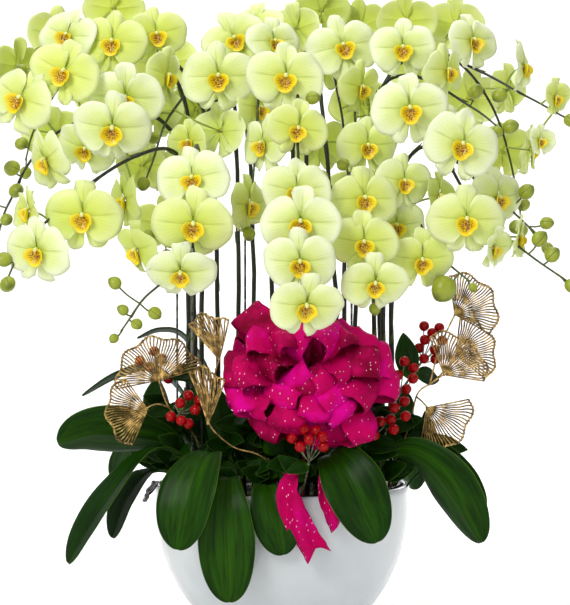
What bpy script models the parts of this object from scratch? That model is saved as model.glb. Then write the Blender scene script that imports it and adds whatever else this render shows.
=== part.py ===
"""Potted orchid: arching flower spikes, strap leaves, a ribbon bow, gold fan picks and berry
sprigs in a round white bowl. Metres, +Z up, the front faces -Y, the foot stands on Z = 0."""

import math
from collections import namedtuple

import bmesh
import bpy
from mathutils import Vector

CM = 0.01

BOWL_CENTRE_Z = 0.170
BOWL_RADIUS = 0.156
BOWL_HALF_HEIGHT = 0.188
BOWL_WALL = 0.007
BOWL_RIM_Z = 0.186
FOOT_RADIUS = 0.066
FLOOR_THICKNESS = 0.010
BOWL_STEPS = 32

MEDIUM_TOP = 0.164
MEDIUM_GAP = 0.0005
GROWN_FROM = MEDIUM_TOP + 0.0010

STEM_BASE_RADIUS = 0.0034
STEM_TIP_RADIUS = 0.0016
STALK_RADIUS = 0.0014
PETAL_THICKNESS = 0.0024
STALK_BACK_REACH = 0.012
STALK_BEND = 0.15

LEAF_THICKNESS = 0.0022

Bloom = namedtuple("Bloom", "x y z yaw pitch roll width")
Bud = namedtuple("Bud", "x y z size")
Spike = namedtuple("Spike", "name route blooms buds")
Leaf = namedtuple("Leaf", "name route across width")

# Every row below is in centimetres and degrees. A bloom looks to the front at yaw 0, and a
# positive yaw turns it to +X. Positive pitch looks up, positive roll leans the top to +X.
SPIKES = [
    Spike(
        "spike_left_high",
        [(-11.5, -1, 16.5), (-11.3, -1, 40), (-11.5, -2, 56), (-14, -4, 62), (-19, -6, 63),
         (-25, -7, 61.5), (-29, -9.5, 57.5), (-31.5, -11.5, 52), (-32.5, -12, 49)],
        [Bloom(-18.2, -9, 64.6, -5, -20, 0, 8.8), Bloom(-25.2, -10, 67.4, -15, 5, 20, 8.6),
         Bloom(-30.4, -9, 64.4, -25, 5, 28, 9.0), Bloom(-22.6, -11, 58.6, -20, -25, 15, 7.4),
         Bloom(-26.9, -13, 57.1, -50, -15, -10, 8.0)],
        [Bud(-31.1, -12, 56.2, 1.9), Bud(-30.6, -11.6, 53.6, 1.8), Bud(-33.4, -12, 52.5, 1.5),
         Bud(-31.6, -12.5, 50.2, 1.5), Bud(-33.2, -12, 48.3, 1.2)]),
    Spike(
        "spike_left_low",
        [(-10.5, -3, 16.5), (-10.5, -3.5, 40), (-11, -5, 54), (-13, -8.5, 58.5),
         (-17, -12.6, 57.4), (-21.5, -14.6, 54.4), (-26, -15.5, 50.5), (-29.5, -16.5, 46.5),
         (-31, -17.5, 42.5)],
        [Bloom(-19.2, -15, 60.6, 0, -22, 5, 9.0), Bloom(-18, -11, 52.6, -60, -5, 0, 7.6),
         Bloom(-22.3, -17, 50.5, -8, -5, 0, 8.8), Bloom(-28.6, -14.8, 51.2, -60, 0, 0, 6.8),
         Bloom(-27.3, -18, 46.6, -20, -8, 5, 8.2)],
        [Bud(-31.3, -17, 45.6, 1.8), Bud(-30.6, -18.3, 42.8, 1.9)]),
    Spike(
        "spike_left_front",
        [(-9.5, -5, 16.5), (-9.5, -6, 40), (-9.5, -8.5, 54), (-9.6, -12.5, 58.5),
         (-9.8, -16, 57), (-10, -18, 52), (-10.8, -19, 47), (-13, -19.3, 43.5),
         (-15.5, -19.6, 41), (-17.8, -20, 37.5)],
        [Bloom(-9.9, -18.5, 54.5, -10, 15, -5, 8.4), Bloom(-9.8, -20.5, 49.5, 5, -12, 5, 8.8),
         Bloom(-11.1, -21, 44.2, -5, -30, 0, 7.6), Bloom(-16, -19, 46.7, -55, -20, 0, 7.4)],
        [Bud(-18.5, -20, 43, 1.5), Bud(-14, -20, 39.6, 1.5), Bud(-17.6, -20, 40, 1.3),
         Bud(-16, -20.3, 38.4, 1.3), Bud(-18.6, -20, 36.8, 1.1)]),
    Spike(
        "spike_left_top",
        [(-11.5, 2, 16.5), (-11.2, 2, 40), (-11, 1.5, 58), (-12.5, 0, 67), (-16, -1, 70),
         (-20, -1, 70.5), (-25, -1, 70), (-29.5, -0.5, 69), (-33, 0, 66)],
        [Bloom(-20.1, -5, 71.5, -8, 5, 3, 8.4), Bloom(-15, -3.5, 72.6, 10, 5, -10, 7.6),
         Bloom(-13.8, -5, 67.6, 65, -5, 0, 7.4), Bloom(-25.6, -4, 72.4, -20, 10, 15, 7.6)],
        [Bud(-29, -2.5, 70.5, 1.9), Bud(-31.5, -2, 68.5, 1.8), Bud(-34, -0.8, 65, 1.5)]),
    Spike(
        "spike_centre_left",
        [(-5.5, 1, 16.5), (-5.3, 1, 40), (-5.5, 0.5, 58), (-6, -1, 66.5), (-8, -3, 68.5),
         (-11, -4.5, 66), (-13.8, -6.5, 61.5), (-15.6, -8, 56)],
        [Bloom(-5.6, -2.5, 72.2, -5, 8, -20, 8.2), Bloom(-7.4, -8, 67.1, 0, 0, 0, 8.8),
         Bloom(-7.3, -6, 60.9, 150, 0, 0, 7.4), Bloom(-10.8, -8, 59.5, -30, 0, 0, 6.5),
         Bloom(-15.3, -2.5, 63.4, 165, 0, 0, 7.2), Bloom(-16.6, -3.6, 57, -160, -10, 0, 7.0)],
        [Bud(-15, -9, 59.9, 1.5), Bud(-16.2, -8.6, 54.5, 1.6)]),
    Spike(
        "spike_centre_slim",
        [(-1.2, -2, 16.5), (-1.2, -2, 40), (-1.4, -1.5, 60), (-1.6, -0.5, 69), (-2, -2.5, 71),
         (-2.6, -5.5, 67), (-3, -7.5, 60), (-3.6, -8.5, 50)],
        [Bloom(-3.3, 2, 74.4, -20, 20, 0, 7.5), Bloom(-1, -3, 71.8, 30, 10, 0, 7.0),
         Bloom(-2.8, -5.5, 63.7, 50, 0, 0, 7.0), Bloom(-2.1, -9, 59.2, -40, 0, 0, 7.4),
         Bloom(-4, -10.5, 52.1, 60, -5, 0, 7.8)],
        [Bud(-3.8, -9.5, 48.6, 1.6)]),
    Spike(
        "spike_centre_front",
        [(3, -4, 16.5), (3, -4.5, 40), (3, -5, 58), (2.6, -8, 66), (2, -11, 67.5),
         (1.8, -14.5, 63), (1.8, -17.5, 56), (2, -20, 48), (2.5, -21, 40.5)],
        [Bloom(0.5, -13.5, 66.4, 0, 5, 5, 9.0), Bloom(1.8, -16.5, 60.4, 8, -10, 12, 7.2),
         Bloom(1.7, -18.8, 53.2, 0, 5, 0, 8.0), Bloom(2.1, -21, 49.7, 0, -5, 0, 8.8),
         Bloom(2.05, -22.5, 45.3, 0, -10, 0, 8.0), Bloom(2.7, -23.5, 40.6, 8, -20, 4, 8.2)],
        [Bud(3.6, -14.5, 64, 1.6), Bud(4.6, -17, 55, 1.4)]),
    Spike(
        "spike_centre_right",
        [(7, 0, 16.5), (6.6, 0, 40), (5.5, 0, 58), (4.6, 1, 68), (5, 1, 72), (7, -1, 72),
         (8.3, -3.5, 68), (8.8, -5, 62), (9, -6, 56)],
        [Bloom(7.3, -5, 71, 5, 10, -15, 8.6), Bloom(9.2, -8, 65.9, 50, -10, 0, 7.0),
         Bloom(10.4, -5.6, 62.8, 75, 0, 0, 6.8), Bloom(9.9, -10.6, 58.8, 15, 0, 0, 7.4)],
        [Bud(9.8, -6.2, 53.6, 1.5)]),
    Spike(
        "spike_right_column",
        [(7.5, -4, 16.5), (7.5, -4.5, 38), (7.5, -6.3, 51), (7.8, -9.3, 55.2),
         (8.3, -12, 55.4), (8.8, -14, 52.8), (9.3, -15.5, 48.5), (10, -16.5, 42.5)],
        [Bloom(9.3, -15.8, 52.5, 15, 0, 0, 8.2), Bloom(9.2, -18, 47.5, 5, -5, 0, 7.8),
         Bloom(10.4, -19.5, 43, 5, -20, 0, 7.4)],
        [Bud(7, -14, 56.5, 1.5), Bud(10.5, -17, 40, 1.4)]),
    Spike(
        "spike_right_low",
        [(11, -2, 16.5), (11.2, -2.5, 38), (11.4, -4, 49), (12.2, -7, 53.2), (13.8, -9, 53.8),
         (15.5, -10.2, 51), (17.3, -11.5, 47.5), (19.3, -12.5, 45), (21.5, -13.5, 43.2)],
        [Bloom(14, -12.5, 54.6, 20, 0, 0, 7.0), Bloom(18.2, -10, 53, 55, 0, 0, 6.8),
         Bloom(13.2, -11.5, 49.6, 10, -5, 0, 7.2), Bloom(15.9, -14.5, 45.6, 15, -12, 0, 7.8)],
        [Bud(18.5, -14, 42.2, 3.0), Bud(21.9, -13.8, 42.4, 1.1)]),
    Spike(
        "spike_right_front",
        [(12, -4, 16.5), (12.2, -4.5, 40), (12.5, -6, 55), (13, -8.5, 61), (15.5, -11, 61.5),
         (18.5, -12.5, 58), (21.3, -13.3, 53), (24, -14, 49.5), (28.2, -14.5, 46.3),
         (32.3, -15, 43.2)],
        [Bloom(14.6, -14, 62.8, 3, 0, -5, 8.8), Bloom(20.4, -15.5, 58.6, 8, 0, 15, 8.8),
         Bloom(20.8, -17, 50.1, 0, -5, 5, 8.6), Bloom(23.8, -16.5, 47, 60, -10, 0, 6.2),
         Bloom(27, -13.8, 48.2, 70, -5, 0, 6.2)],
        [Bud(29.4, -14.8, 48, 1.9), Bud(30.8, -15, 46.2, 1.8), Bud(33, -15.2, 42.6, 1.7)]),
    Spike(
        "spike_right_buds",
        [(12, 1, 16.5), (12, 1, 40), (11.5, 0, 58), (12, -2, 66), (15, -4, 67.8),
         (19, -5.5, 66), (23, -7, 63.3), (26, -8.5, 60.5)],
        [Bloom(14.3, -6.5, 70.6, 0, 5, 0, 8.0), Bloom(19.3, -8.5, 67.8, 50, 0, 0, 7.0)],
        [Bud(22.8, -8, 65.4, 1.9), Bud(25, -9.3, 60.4, 1.7), Bud(26.8, -9, 61.2, 1.9)]),
    Spike(
        "spike_right_top",
        [(12.5, 3, 16.5), (12.5, 3, 42), (13, 2.5, 60), (15.5, 1.5, 68), (19.5, 0, 70),
         (24, -1.5, 68.5), (29, -3.5, 65.5), (34, -5, 62.5)],
        [Bloom(22.9, -2.5, 72, 35, 5, 0, 7.6), Bloom(28.7, -4, 68.8, 65, 0, 0, 7.4),
         Bloom(32.4, -5.5, 65, 50, -5, 0, 5.6), Bloom(30.5, -6.5, 59.8, 35, 0, 0, 4.6)],
        [Bud(26, -3.8, 65.3, 1.8), Bud(34.4, -5.4, 62.2, 1.7)]),
    Spike(
        "spike_right_long",
        [(13.2, -1, 16.5), (13.4, -1, 40), (14, -1.5, 54), (16.5, -3.5, 59), (20.5, -6, 57.5),
         (23.5, -7.5, 54.5), (26.7, -8.5, 51.7), (30.3, -9.5, 48)],
        [Bloom(25, -10.5, 52.8, 40, 0, 0, 7.6), Bloom(19.4, -8.6, 61, 20, 5, 0, 6.8)],
        [Bud(28.6, -9.5, 53.6, 1.9), Bud(27.3, -10, 49.4, 1.8), Bud(30.9, -10, 49.9, 1.6),
         Bud(31, -10, 46.9, 1.5)]),
    Spike(
        "spike_back_left",
        [(-8, 6, 16.5), (-8, 6, 40), (-9, 6, 60), (-12, 6.5, 69), (-17, 7, 72.5),
         (-22, 8, 72.5), (-27, 9.5, 69), (-31, 11, 64), (-33, 12, 58.5)],
        [Bloom(-20.9, 5, 77, 170, 10, 0, 7.8), Bloom(-28.3, 6.5, 74, -160, 5, 0, 7.6),
         Bloom(-32.9, 6, 70, -140, 0, 0, 7.4), Bloom(-15, 11.5, 71, 170, 0, 5, 8.6),
         Bloom(-22.5, 13, 67.5, 180, -5, -8, 8.8), Bloom(-29.5, 15, 62, -165, -8, 10, 8.4)],
        [Bud(-33.6, 12.8, 60.8, 1.8), Bud(-33, 12.5, 57, 1.6)]),
    Spike(
        "spike_back_centre_left",
        [(-3.5, 8, 16.5), (-3.5, 8, 40), (-4, 9, 58), (-5.5, 11.5, 66), (-8.5, 15, 66.5),
         (-11.5, 18, 62), (-14, 20, 56), (-16, 21.5, 49.5)],
        [Bloom(-5.5, 15.5, 69.5, 175, 5, 0, 8.4), Bloom(-11.2, 20, 65.8, -170, -5, 6, 8.8),
         Bloom(-12.5, 22.5, 58, 175, -10, -6, 8.6), Bloom(-17.8, 20.5, 58.2, -130, -5, 0, 7.8),
         Bloom(-16, 24, 51, -170, -15, 0, 8.0)],
        [Bud(-18, 22, 49, 1.8), Bud(-15.5, 22.5, 46.5, 1.6)]),
    Spike(
        "spike_back_centre",
        [(1, 8, 16.5), (1, 8, 42), (1.5, 8, 62), (2.5, 8.5, 70.5), (4, 10.5, 73.5),
         (6, 14, 72), (7.5, 17.5, 67), (8.5, 19.5, 60), (9, 20.5, 52.5)],
        [Bloom(1.8, 5.5, 74.6, 150, 5, 0, 7.2), Bloom(5, 7, 77, 180, 8, 0, 7.2),
         Bloom(10, 9.5, 75.5, 165, 5, 0, 7.2), Bloom(5.2, 17.5, 71.8, 180, 0, 5, 8.6),
         Bloom(10.5, 21, 66.8, 160, -5, -5, 8.6), Bloom(5, 22, 61.5, -175, -8, 0, 8.4),
         Bloom(10.2, 23.5, 55.2, 170, -12, 8, 8.4)],
        [Bud(8, 21.5, 51, 1.8), Bud(10.2, 21.5, 50, 1.6)]),
    Spike(
        "spike_back_right",
        [(9, 6, 16.5), (9.3, 6, 40), (10.5, 6, 60), (13.5, 7, 69), (18, 8.5, 72),
         (23, 10, 70.5), (27, 12, 65.5), (29.5, 13.5, 59), (31, 14.5, 52)],
        [Bloom(15.6, 5.5, 75.6, 175, 5, 0, 7.4), Bloom(21.8, 7, 75.4, 160, 5, 0, 7.4),
         Bloom(28.4, 7.5, 67.2, 120, 0, 0, 7.4), Bloom(17.5, 13, 71.2, 180, 0, 5, 8.6),
         Bloom(24.5, 15.5, 66.8, 165, -5, -8, 8.8), Bloom(29, 17.5, 60, 155, -10, 5, 8.4),
         Bloom(31.6, 10.5, 59.8, 95, -5, 0, 7.2)],
        [Bud(31.6, 15.8, 53, 1.8), Bud(31.3, 15, 49.6, 1.6)]),
]

LEAVES = [
    Leaf("leaf_left_level", [(-10, -5.5, 16.5), (-12.5, -7.5, 23.5), (-17, -9.5, 25.2),
                             (-22, -10.5, 25.6), (-26, -11, 24.4)], (0.25, -0.45, 0.7), 6.6),
    Leaf("leaf_left_long", [(-8.9, -7.3, 16.5), (-11.9, -10.2, 22.8), (-15.5, -13, 23.5),
                            (-19.5, -14.5, 19), (-22.5, -15, 14.5), (-24.3, -15, 11)],
         (0.5, -0.8, 0.05), 5.6),
    Leaf("leaf_left_dark", [(-10.3, -6.2, 16.5), (-12.7, -8.8, 20.4), (-15.6, -10.6, 20.8),
                            (-18.2, -11.4, 17.6), (-19.6, -11.6, 13.4)], (0.6, -0.75, 0.1), 4.8),
    Leaf("leaf_left_slim", [(-8.6, 3.8, 16.5), (-11.2, 5, 27), (-15.5, 4.2, 32),
                            (-20, 2.8, 31.5), (-24.6, 1.8, 29)], (0, -1, 0.1), 4.8),
    Leaf("leaf_left_upper", [(-6.2, 3.4, 16.5), (-8.6, 3.7, 30), (-12, 4.7, 36),
                             (-15, 4.6, 37), (-18, 4, 36)], (0, -1, 0.1), 4.2),
    Leaf("leaf_front_paddle", [(-7.6, -9.6, 16.5), (-8.2, -11, 21), (-8.1, -13.3, 23.5), (-9.3, -16.9, 22.3),
                               (-10.7, -18.9, 18.3), (-11.6, -19.2, 13.2)], (0.9, -0.35, 0), 6.4),
    Leaf("leaf_front_long", [(-4.9, -7, 16.5), (-4.9, -10.5, 18.9), (-5.3, -12.9, 20), (-6.1, -15.6, 20.7),
                             (-6.2, -17.8, 17.2), (-6.1, -17.6, 12.3), (-5.9, -16.4, 6.8)],
         (1, 0, 0), 5.9),
    Leaf("leaf_front_short", [(-2.5, -7.6, 16.5), (-2.1, -11.5, 18.9), (-1.4, -14.9, 19.8),
                              (-0.8, -16.5, 17.2), (0.2, -16.5, 12.2)], (1, 0.15, 0), 5.2),
    Leaf("leaf_upright", [(-7.2, -6.6, 16.5), (-7, -7.6, 23), (-7.7, -8, 30.5)],
         (1, 0.2, 0), 3.0),
    Leaf("leaf_upright_slim", [(-4.3, -5.4, 16.5), (-4.6, -6.4, 23), (-4.9, -6.8, 28.5)],
         (1, 0.4, 0), 2.4),
    Leaf("leaf_front_right", [(4.2, -8.2, 16.5), (5, -12, 22.6), (6.3, -15.5, 23),
                              (8.2, -18, 20), (10.8, -18.8, 14)], (0.85, 0.2, 0.5), 6.4),
    Leaf("leaf_right_paddle", [(9.6, -7, 16.5), (12.5, -9.5, 22.6), (16, -11.8, 23),
                               (19.5, -13.3, 19.3), (22.9, -13.9, 13.2)],
         (0.35, -0.6, 0.6), 6.6),
    Leaf("leaf_right_dark", [(13.1, -2.6, 16.5), (14.8, -3.8, 22.6), (18, -5.4, 23.4),
                             (21.5, -6.8, 20.4), (24, -7.6, 16.4)], (0.2, -0.9, 0.3), 4.8),
    Leaf("leaf_back_left", [(-9.8, 7, 16.5), (-14, 9.6, 23), (-18.5, 12.2, 22),
                            (-21.5, 13.8, 17.2)], (0.55, 0.8, 0), 6.2),
    Leaf("leaf_back_mid", [(-5.4, 9.4, 16.5), (-7, 13.6, 22.8), (-9, 17.6, 21.6),
                           (-10.4, 19.6, 15)], (0.9, 0.4, 0), 6.2),
    Leaf("leaf_back", [(2.6, 9.8, 16.5), (3.2, 14, 22), (3.8, 17.8, 20.4), (4.2, 19, 13.6)],
         (1, -0.1, 0), 6.2),
    Leaf("leaf_back_right", [(8.4, 8.4, 16.5), (11.8, 12, 23.2), (15.2, 15.4, 21.8),
                             (17.4, 17, 15.6)], (0.7, -0.7, 0), 6.4),
]


def clear_scene():
    for obj in list(bpy.data.objects):
        bpy.data.objects.remove(obj)


def principled(name, colour, roughness, metallic=0.0):
    material = bpy.data.materials.new(name)
    material.use_nodes = True
    shader = material.node_tree.nodes["Principled BSDF"]
    shader.inputs["Base Color"].default_value = (*colour, 1.0)
    shader.inputs["Roughness"].default_value = roughness
    shader.inputs["Metallic"].default_value = metallic
    return material


def metres(point):
    return Vector(point) * CM


def smooth_route(points, steps):
    """Catmull-Rom curve through the points, with this many steps per span."""
    knots = [points[0] * 2 - points[1], *points, points[-1] * 2 - points[-2]]
    route = []
    for before, start, end, after in zip(knots, knots[1:], knots[2:], knots[3:]):
        for step in range(steps):
            t = step / steps
            bend = (2 * before - 5 * start + 4 * end - after) * t * t
            twist = (3 * start - before - 3 * end + after) * t * t * t
            route.append((2 * start + (end - before) * t + bend + twist) / 2)
    route.append(points[-1])
    return route


def directions(route):
    ends = [route[0], *route, route[-1]]
    return [(after - before).normalized() for before, after in zip(ends, ends[2:])]


def add_tube(mesh, route, radii, sides):
    """Closed tube along the route, its rings carried along without twist."""
    along = directions(route)
    normal = along[0].orthogonal().normalized()
    rings = []
    for point, direction, radius in zip(route, along, radii):
        normal = (normal - direction * normal.dot(direction)).normalized()
        other = direction.cross(normal)
        turns = [math.tau * side / sides for side in range(sides)]
        rings.append([mesh.verts.new(point + (normal * math.cos(turn) + other * math.sin(turn)) * radius)
                      for turn in turns])
    for low, high in zip(rings, rings[1:]):
        for side in range(sides):
            after = (side + 1) % sides
            mesh.faces.new((low[side], low[after], high[after], high[side]))
    mesh.faces.new(rings[0][::-1])
    mesh.faces.new(rings[-1])


def add_strip(mesh, tops, bottoms):
    """Closed plate between two equal grids of points, the top one listed row by row."""
    top = [[mesh.verts.new(point) for point in row] for row in tops]
    bottom = [[mesh.verts.new(point) for point in row] for row in bottoms]
    for grid, turned in ((top, False), (bottom, True)):
        for low, high in zip(grid, grid[1:]):
            for column in range(len(low) - 1):
                corners = (low[column], low[column + 1], high[column + 1], high[column])
                mesh.faces.new(corners[::-1] if turned else corners)
    rim_top = top[0] + [row[-1] for row in top[1:-1]] + top[-1][::-1] + [row[0] for row in top[-2:0:-1]]
    rim_bottom = (bottom[0] + [row[-1] for row in bottom[1:-1]] + bottom[-1][::-1]
                  + [row[0] for row in bottom[-2:0:-1]])
    for place in range(len(rim_top)):
        after = (place + 1) % len(rim_top)
        mesh.faces.new((rim_top[after], rim_top[place], rim_bottom[place], rim_bottom[after]))


def object_from(name, build, material, smooth=True):
    """New object whose mesh is filled in by build(mesh)."""
    mesh = bmesh.new()
    build(mesh)
    bmesh.ops.recalc_face_normals(mesh, faces=mesh.faces)
    if mesh.calc_volume(signed=True) < 0:
        bmesh.ops.reverse_faces(mesh, faces=mesh.faces)
    for face in mesh.faces:
        face.smooth = smooth
    data = bpy.data.meshes.new(name)
    mesh.to_mesh(data)
    mesh.free()
    data.materials.append(material)
    obj = bpy.data.objects.new(name, data)
    bpy.context.scene.collection.objects.link(obj)
    return obj


def grown_together(name, pieces, material):
    """One solid named name, the Boolean union of the pieces, which are removed."""
    body = pieces[0]
    others = bpy.data.collections.new(name + "_pieces")
    bpy.context.scene.collection.children.link(others)
    for piece in pieces[1:]:
        bpy.context.scene.collection.objects.unlink(piece)
        others.objects.link(piece)
    join = body.modifiers.new("union", "BOOLEAN")
    join.operation = "UNION"
    join.operand_type = "COLLECTION"
    join.collection = others
    join.solver = "EXACT"
    graph = bpy.context.evaluated_depsgraph_get()
    data = bpy.data.meshes.new_from_object(body.evaluated_get(graph))
    data.name = name
    for piece in pieces:
        bpy.data.objects.remove(piece)
    bpy.data.collections.remove(others)
    data.materials.clear()
    data.materials.append(material)
    obj = bpy.data.objects.new(name, data)
    bpy.context.scene.collection.objects.link(obj)
    return obj


def bloom_axes(bloom):
    """(right, up, forward) of a bloom in world space."""
    yaw = math.radians(bloom.yaw)
    pitch = math.radians(bloom.pitch)
    roll = math.radians(bloom.roll)
    forward = Vector((math.sin(yaw) * math.cos(pitch), -math.cos(yaw) * math.cos(pitch), math.sin(pitch)))
    level = Vector((math.cos(yaw), math.sin(yaw), 0))
    upward = forward.cross(level)
    right = level * math.cos(roll) - upward * math.sin(roll)
    up = level * math.sin(roll) + upward * math.cos(roll)
    return right, up, forward


# Outline of one half of a bloom: angle from its right-hand side, reach and set-back, as shares
# of the half width. The five lobes are two broad petals, the top sepal and two lower sepals.
HALF_OUTLINE = [
    (90, 0.90, 0.06), (42, 1.0, 0.10), (2, 1.0, 0.12), (-38, 0.48, 0.02), (-64, 0.92, 0.08),
    (-90, 0.38, 0.02),
]
LIP_RING_REACH = 0.22
LIP_RING_SIDES = 5
LIP_FORWARD = 0.012
LIP_DROP = 0.16


def add_bloom(mesh, bloom):
    right, up, forward = bloom_axes(bloom)
    centre = metres((bloom.x, bloom.y, bloom.z))
    half = bloom.width * CM / 2
    thick = PETAL_THICKNESS / 2
    mirrored = [(180 - angle, reach, back) for angle, reach, back in HALF_OUTLINE[-2:0:-1]]
    outline = HALF_OUTLINE + mirrored

    def place(across, rise, out):
        return centre + right * across + up * rise + forward * out

    front, back = [], []
    for angle, reach, set_back in outline:
        turn = math.radians(angle)
        across, rise = math.cos(turn) * reach * half, math.sin(turn) * reach * half
        front.append(mesh.verts.new(place(across, rise, thick - set_back * half)))
        back.append(mesh.verts.new(place(across, rise, -thick - set_back * half)))
    hub = mesh.verts.new(place(0, 0, -thick))
    lip = mesh.verts.new(place(0, -LIP_DROP * half, LIP_FORWARD))
    ring = []
    for side in range(LIP_RING_SIDES):
        turn = math.radians(90) - math.tau * side / LIP_RING_SIDES
        across, rise = math.cos(turn) * LIP_RING_REACH * half, math.sin(turn) * LIP_RING_REACH * half
        ring.append(mesh.verts.new(place(across, rise, thick)))
    count = len(outline)
    for place_now in range(count):
        after = (place_now + 1) % count
        mesh.faces.new((hub, back[place_now], back[after]))
        mesh.faces.new((front[place_now], front[after], back[after], back[place_now]))
        near, near_after = place_now * LIP_RING_SIDES // count, ((place_now + 1) * LIP_RING_SIDES // count)
        near_after %= LIP_RING_SIDES
        mesh.faces.new((front[after], front[place_now], ring[near]))
        if near_after != near:
            mesh.faces.new((front[after], ring[near], ring[near_after]))
    for side in range(LIP_RING_SIDES):
        mesh.faces.new((lip, ring[(side + 1) % LIP_RING_SIDES], ring[side]))


def nearest_on(route, point):
    return min(route, key=lambda place: (place - point).length)


def stalk_route(route, tip, arrival):
    """Stalk from the stem to the tip, which it meets while running along arrival."""
    reach = STALK_BACK_REACH
    root = nearest_on(route[:-1], tip - arrival * reach)
    gap = (tip - root).length
    return [root, root.lerp(tip, 0.6) - arrival * gap * STALK_BEND, tip]


def make_spike(spike, material):
    route = smooth_route([metres(point) for point in spike.route], 2)
    route[0].z = GROWN_FROM
    fine = smooth_route([metres(point) for point in spike.route], 8)
    fine = [point for point in fine if point.z > 3 * GROWN_FROM]
    last = len(route) - 1
    radii = [STEM_BASE_RADIUS + (STEM_TIP_RADIUS - STEM_BASE_RADIUS) * place / last
             for place in range(last + 1)]
    pieces = [object_from("stem", lambda mesh: add_tube(mesh, route, radii, 5), material)]
    for bloom in spike.blooms:
        tip = metres((bloom.x, bloom.y, bloom.z))
        stalk = stalk_route(fine, tip, bloom_axes(bloom)[2])
        pieces.append(object_from(
            "stalk", lambda mesh: add_tube(mesh, stalk, [STALK_RADIUS] * 3, 3), material))
        pieces.append(object_from("bloom", lambda mesh: add_bloom(mesh, bloom), material))
    for bud in spike.buds:
        tip = metres((bud.x, bud.y, bud.z))
        root = nearest_on(fine[:-1], tip)
        away = (tip - root).normalized()
        half = bud.size * CM / 2
        bud_route = [root, tip - away * half, tip - away * half * 0.4, tip + away * half * 0.4,
                     tip + away * half]
        girth = [STALK_RADIUS, STALK_RADIUS, half * 0.74, half * 0.68, half * 0.15]
        pieces.append(object_from("bud", lambda mesh: add_tube(mesh, bud_route, girth, 5), material))
    return grown_together(spike.name, pieces, material)


# Width of a leaf blade at even steps along it, as shares of the widest place.
LEAF_TAPER = [0.28, 0.44, 0.72, 0.94, 1.0, 0.94, 0.74, 0.28]
LEAF_COLUMNS = [-0.5, 0.0, 0.5]
LEAF_DISH = 0.16


def even_steps(route, count):
    """The route sampled at count evenly spaced places."""
    lengths = [0.0]
    for start, end in zip(route, route[1:]):
        lengths.append(lengths[-1] + (end - start).length)
    places = []
    for step in range(count):
        target = lengths[-1] * step / (count - 1)
        index = max(i for i, length in enumerate(lengths[:-1]) if length <= target + 1e-9)
        share = (target - lengths[index]) / (lengths[index + 1] - lengths[index])
        places.append(route[index].lerp(route[index + 1], share))
    return places


def make_leaf(leaf, material):
    route = even_steps(smooth_route([metres(point) for point in leaf.route], 6), len(LEAF_TAPER))
    tops, bottoms = [], []
    along_all = directions(route)
    upper = 1 if sum(Vector(leaf.across).cross(along).z for along in along_all) > 0 else -1
    for centre, along, share in zip(route, along_all, LEAF_TAPER):
        across = Vector(leaf.across)
        across = (across - along * across.dot(along)).normalized()
        face = across.cross(along) * upper
        top, bottom = [], []
        for column in LEAF_COLUMNS:
            lift = LEAF_DISH * leaf.width * CM * share * (4 * column * column) * 0.5
            point = centre + across * column * leaf.width * CM * share + face * lift
            top.append(point + face * LEAF_THICKNESS / 2)
            bottom.append(point - face * LEAF_THICKNESS / 2)
        tops.append(top)
        bottoms.append(bottom)
    lowest = min(point.z for row in tops[:1] + bottoms[:1] for point in row)
    for row in tops[:1] + bottoms[:1]:
        for point in row:
            point.z += GROWN_FROM - lowest
    return object_from(leaf.name, lambda mesh: add_strip(mesh, tops, bottoms), material)


def bowl_radius(z, inset=0.0):
    """Radius of the bowl's outer face at height z, taken in by inset."""
    share = (z - BOWL_CENTRE_Z) / (BOWL_HALF_HEIGHT - inset)
    return (BOWL_RADIUS - inset) * math.sqrt(max(0.0, 1 - share * share))


def turned(name, profile, material):
    """Solid of revolution about Z from a closed (radius, z) profile, radius 0 at both ends."""
    def build(mesh):
        rings = []
        for radius, z in profile:
            if radius == 0:
                rings.append([mesh.verts.new((0, 0, z))] * BOWL_STEPS)
                continue
            turns = [math.tau * step / BOWL_STEPS for step in range(BOWL_STEPS)]
            rings.append([mesh.verts.new((radius * math.cos(turn), radius * math.sin(turn), z))
                          for turn in turns])
        for low, high in zip(rings, rings[1:]):
            for step in range(BOWL_STEPS):
                after = (step + 1) % BOWL_STEPS
                corners = [low[step], low[after], high[after], high[step]]
                mesh.faces.new(list(dict.fromkeys(corners)))
    return object_from(name, build, material)


def make_bowl(material):
    outer = [0.004, 0.025, 0.055, 0.090, 0.125, 0.155, 0.178]
    inner = [0.176, 0.150, 0.120, 0.085, 0.052, 0.026]
    rim_inner = bowl_radius(BOWL_RIM_Z, BOWL_WALL)
    profile = [(0, 0), (FOOT_RADIUS, 0)]
    profile += [(bowl_radius(z), z) for z in outer]
    profile += [(bowl_radius(BOWL_RIM_Z) - 0.0015, BOWL_RIM_Z), (rim_inner + 0.0015, BOWL_RIM_Z)]
    profile += [(bowl_radius(z, BOWL_WALL), z) for z in inner]
    profile += [(FOOT_RADIUS, FLOOR_THICKNESS), (0, FLOOR_THICKNESS)]
    return turned("pot", profile, material)


def make_medium(material):
    inset = BOWL_WALL + MEDIUM_GAP
    profile = [(0, FLOOR_THICKNESS + MEDIUM_GAP), (FOOT_RADIUS - MEDIUM_GAP, FLOOR_THICKNESS + MEDIUM_GAP)]
    profile += [(bowl_radius(z, inset) - 0.0008, z) for z in (0.026, 0.052, 0.085, 0.120, 0.150)]
    profile += [(bowl_radius(MEDIUM_TOP, inset) - 0.0008, MEDIUM_TOP), (0, MEDIUM_TOP)]
    return turned("growing_medium", profile, material)


BOW_CENTRE = (2.8, -13.2, 32)
BOW_REACH = (10.2, 5.6, 8.4)
BOW_LEANEST = 0.80
BOW_LOOP_SPREAD = 9.0
BOW_RINGS = 11
BOW_TURNS = 20
BOW_WIRE_RADIUS = 0.0015

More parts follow.
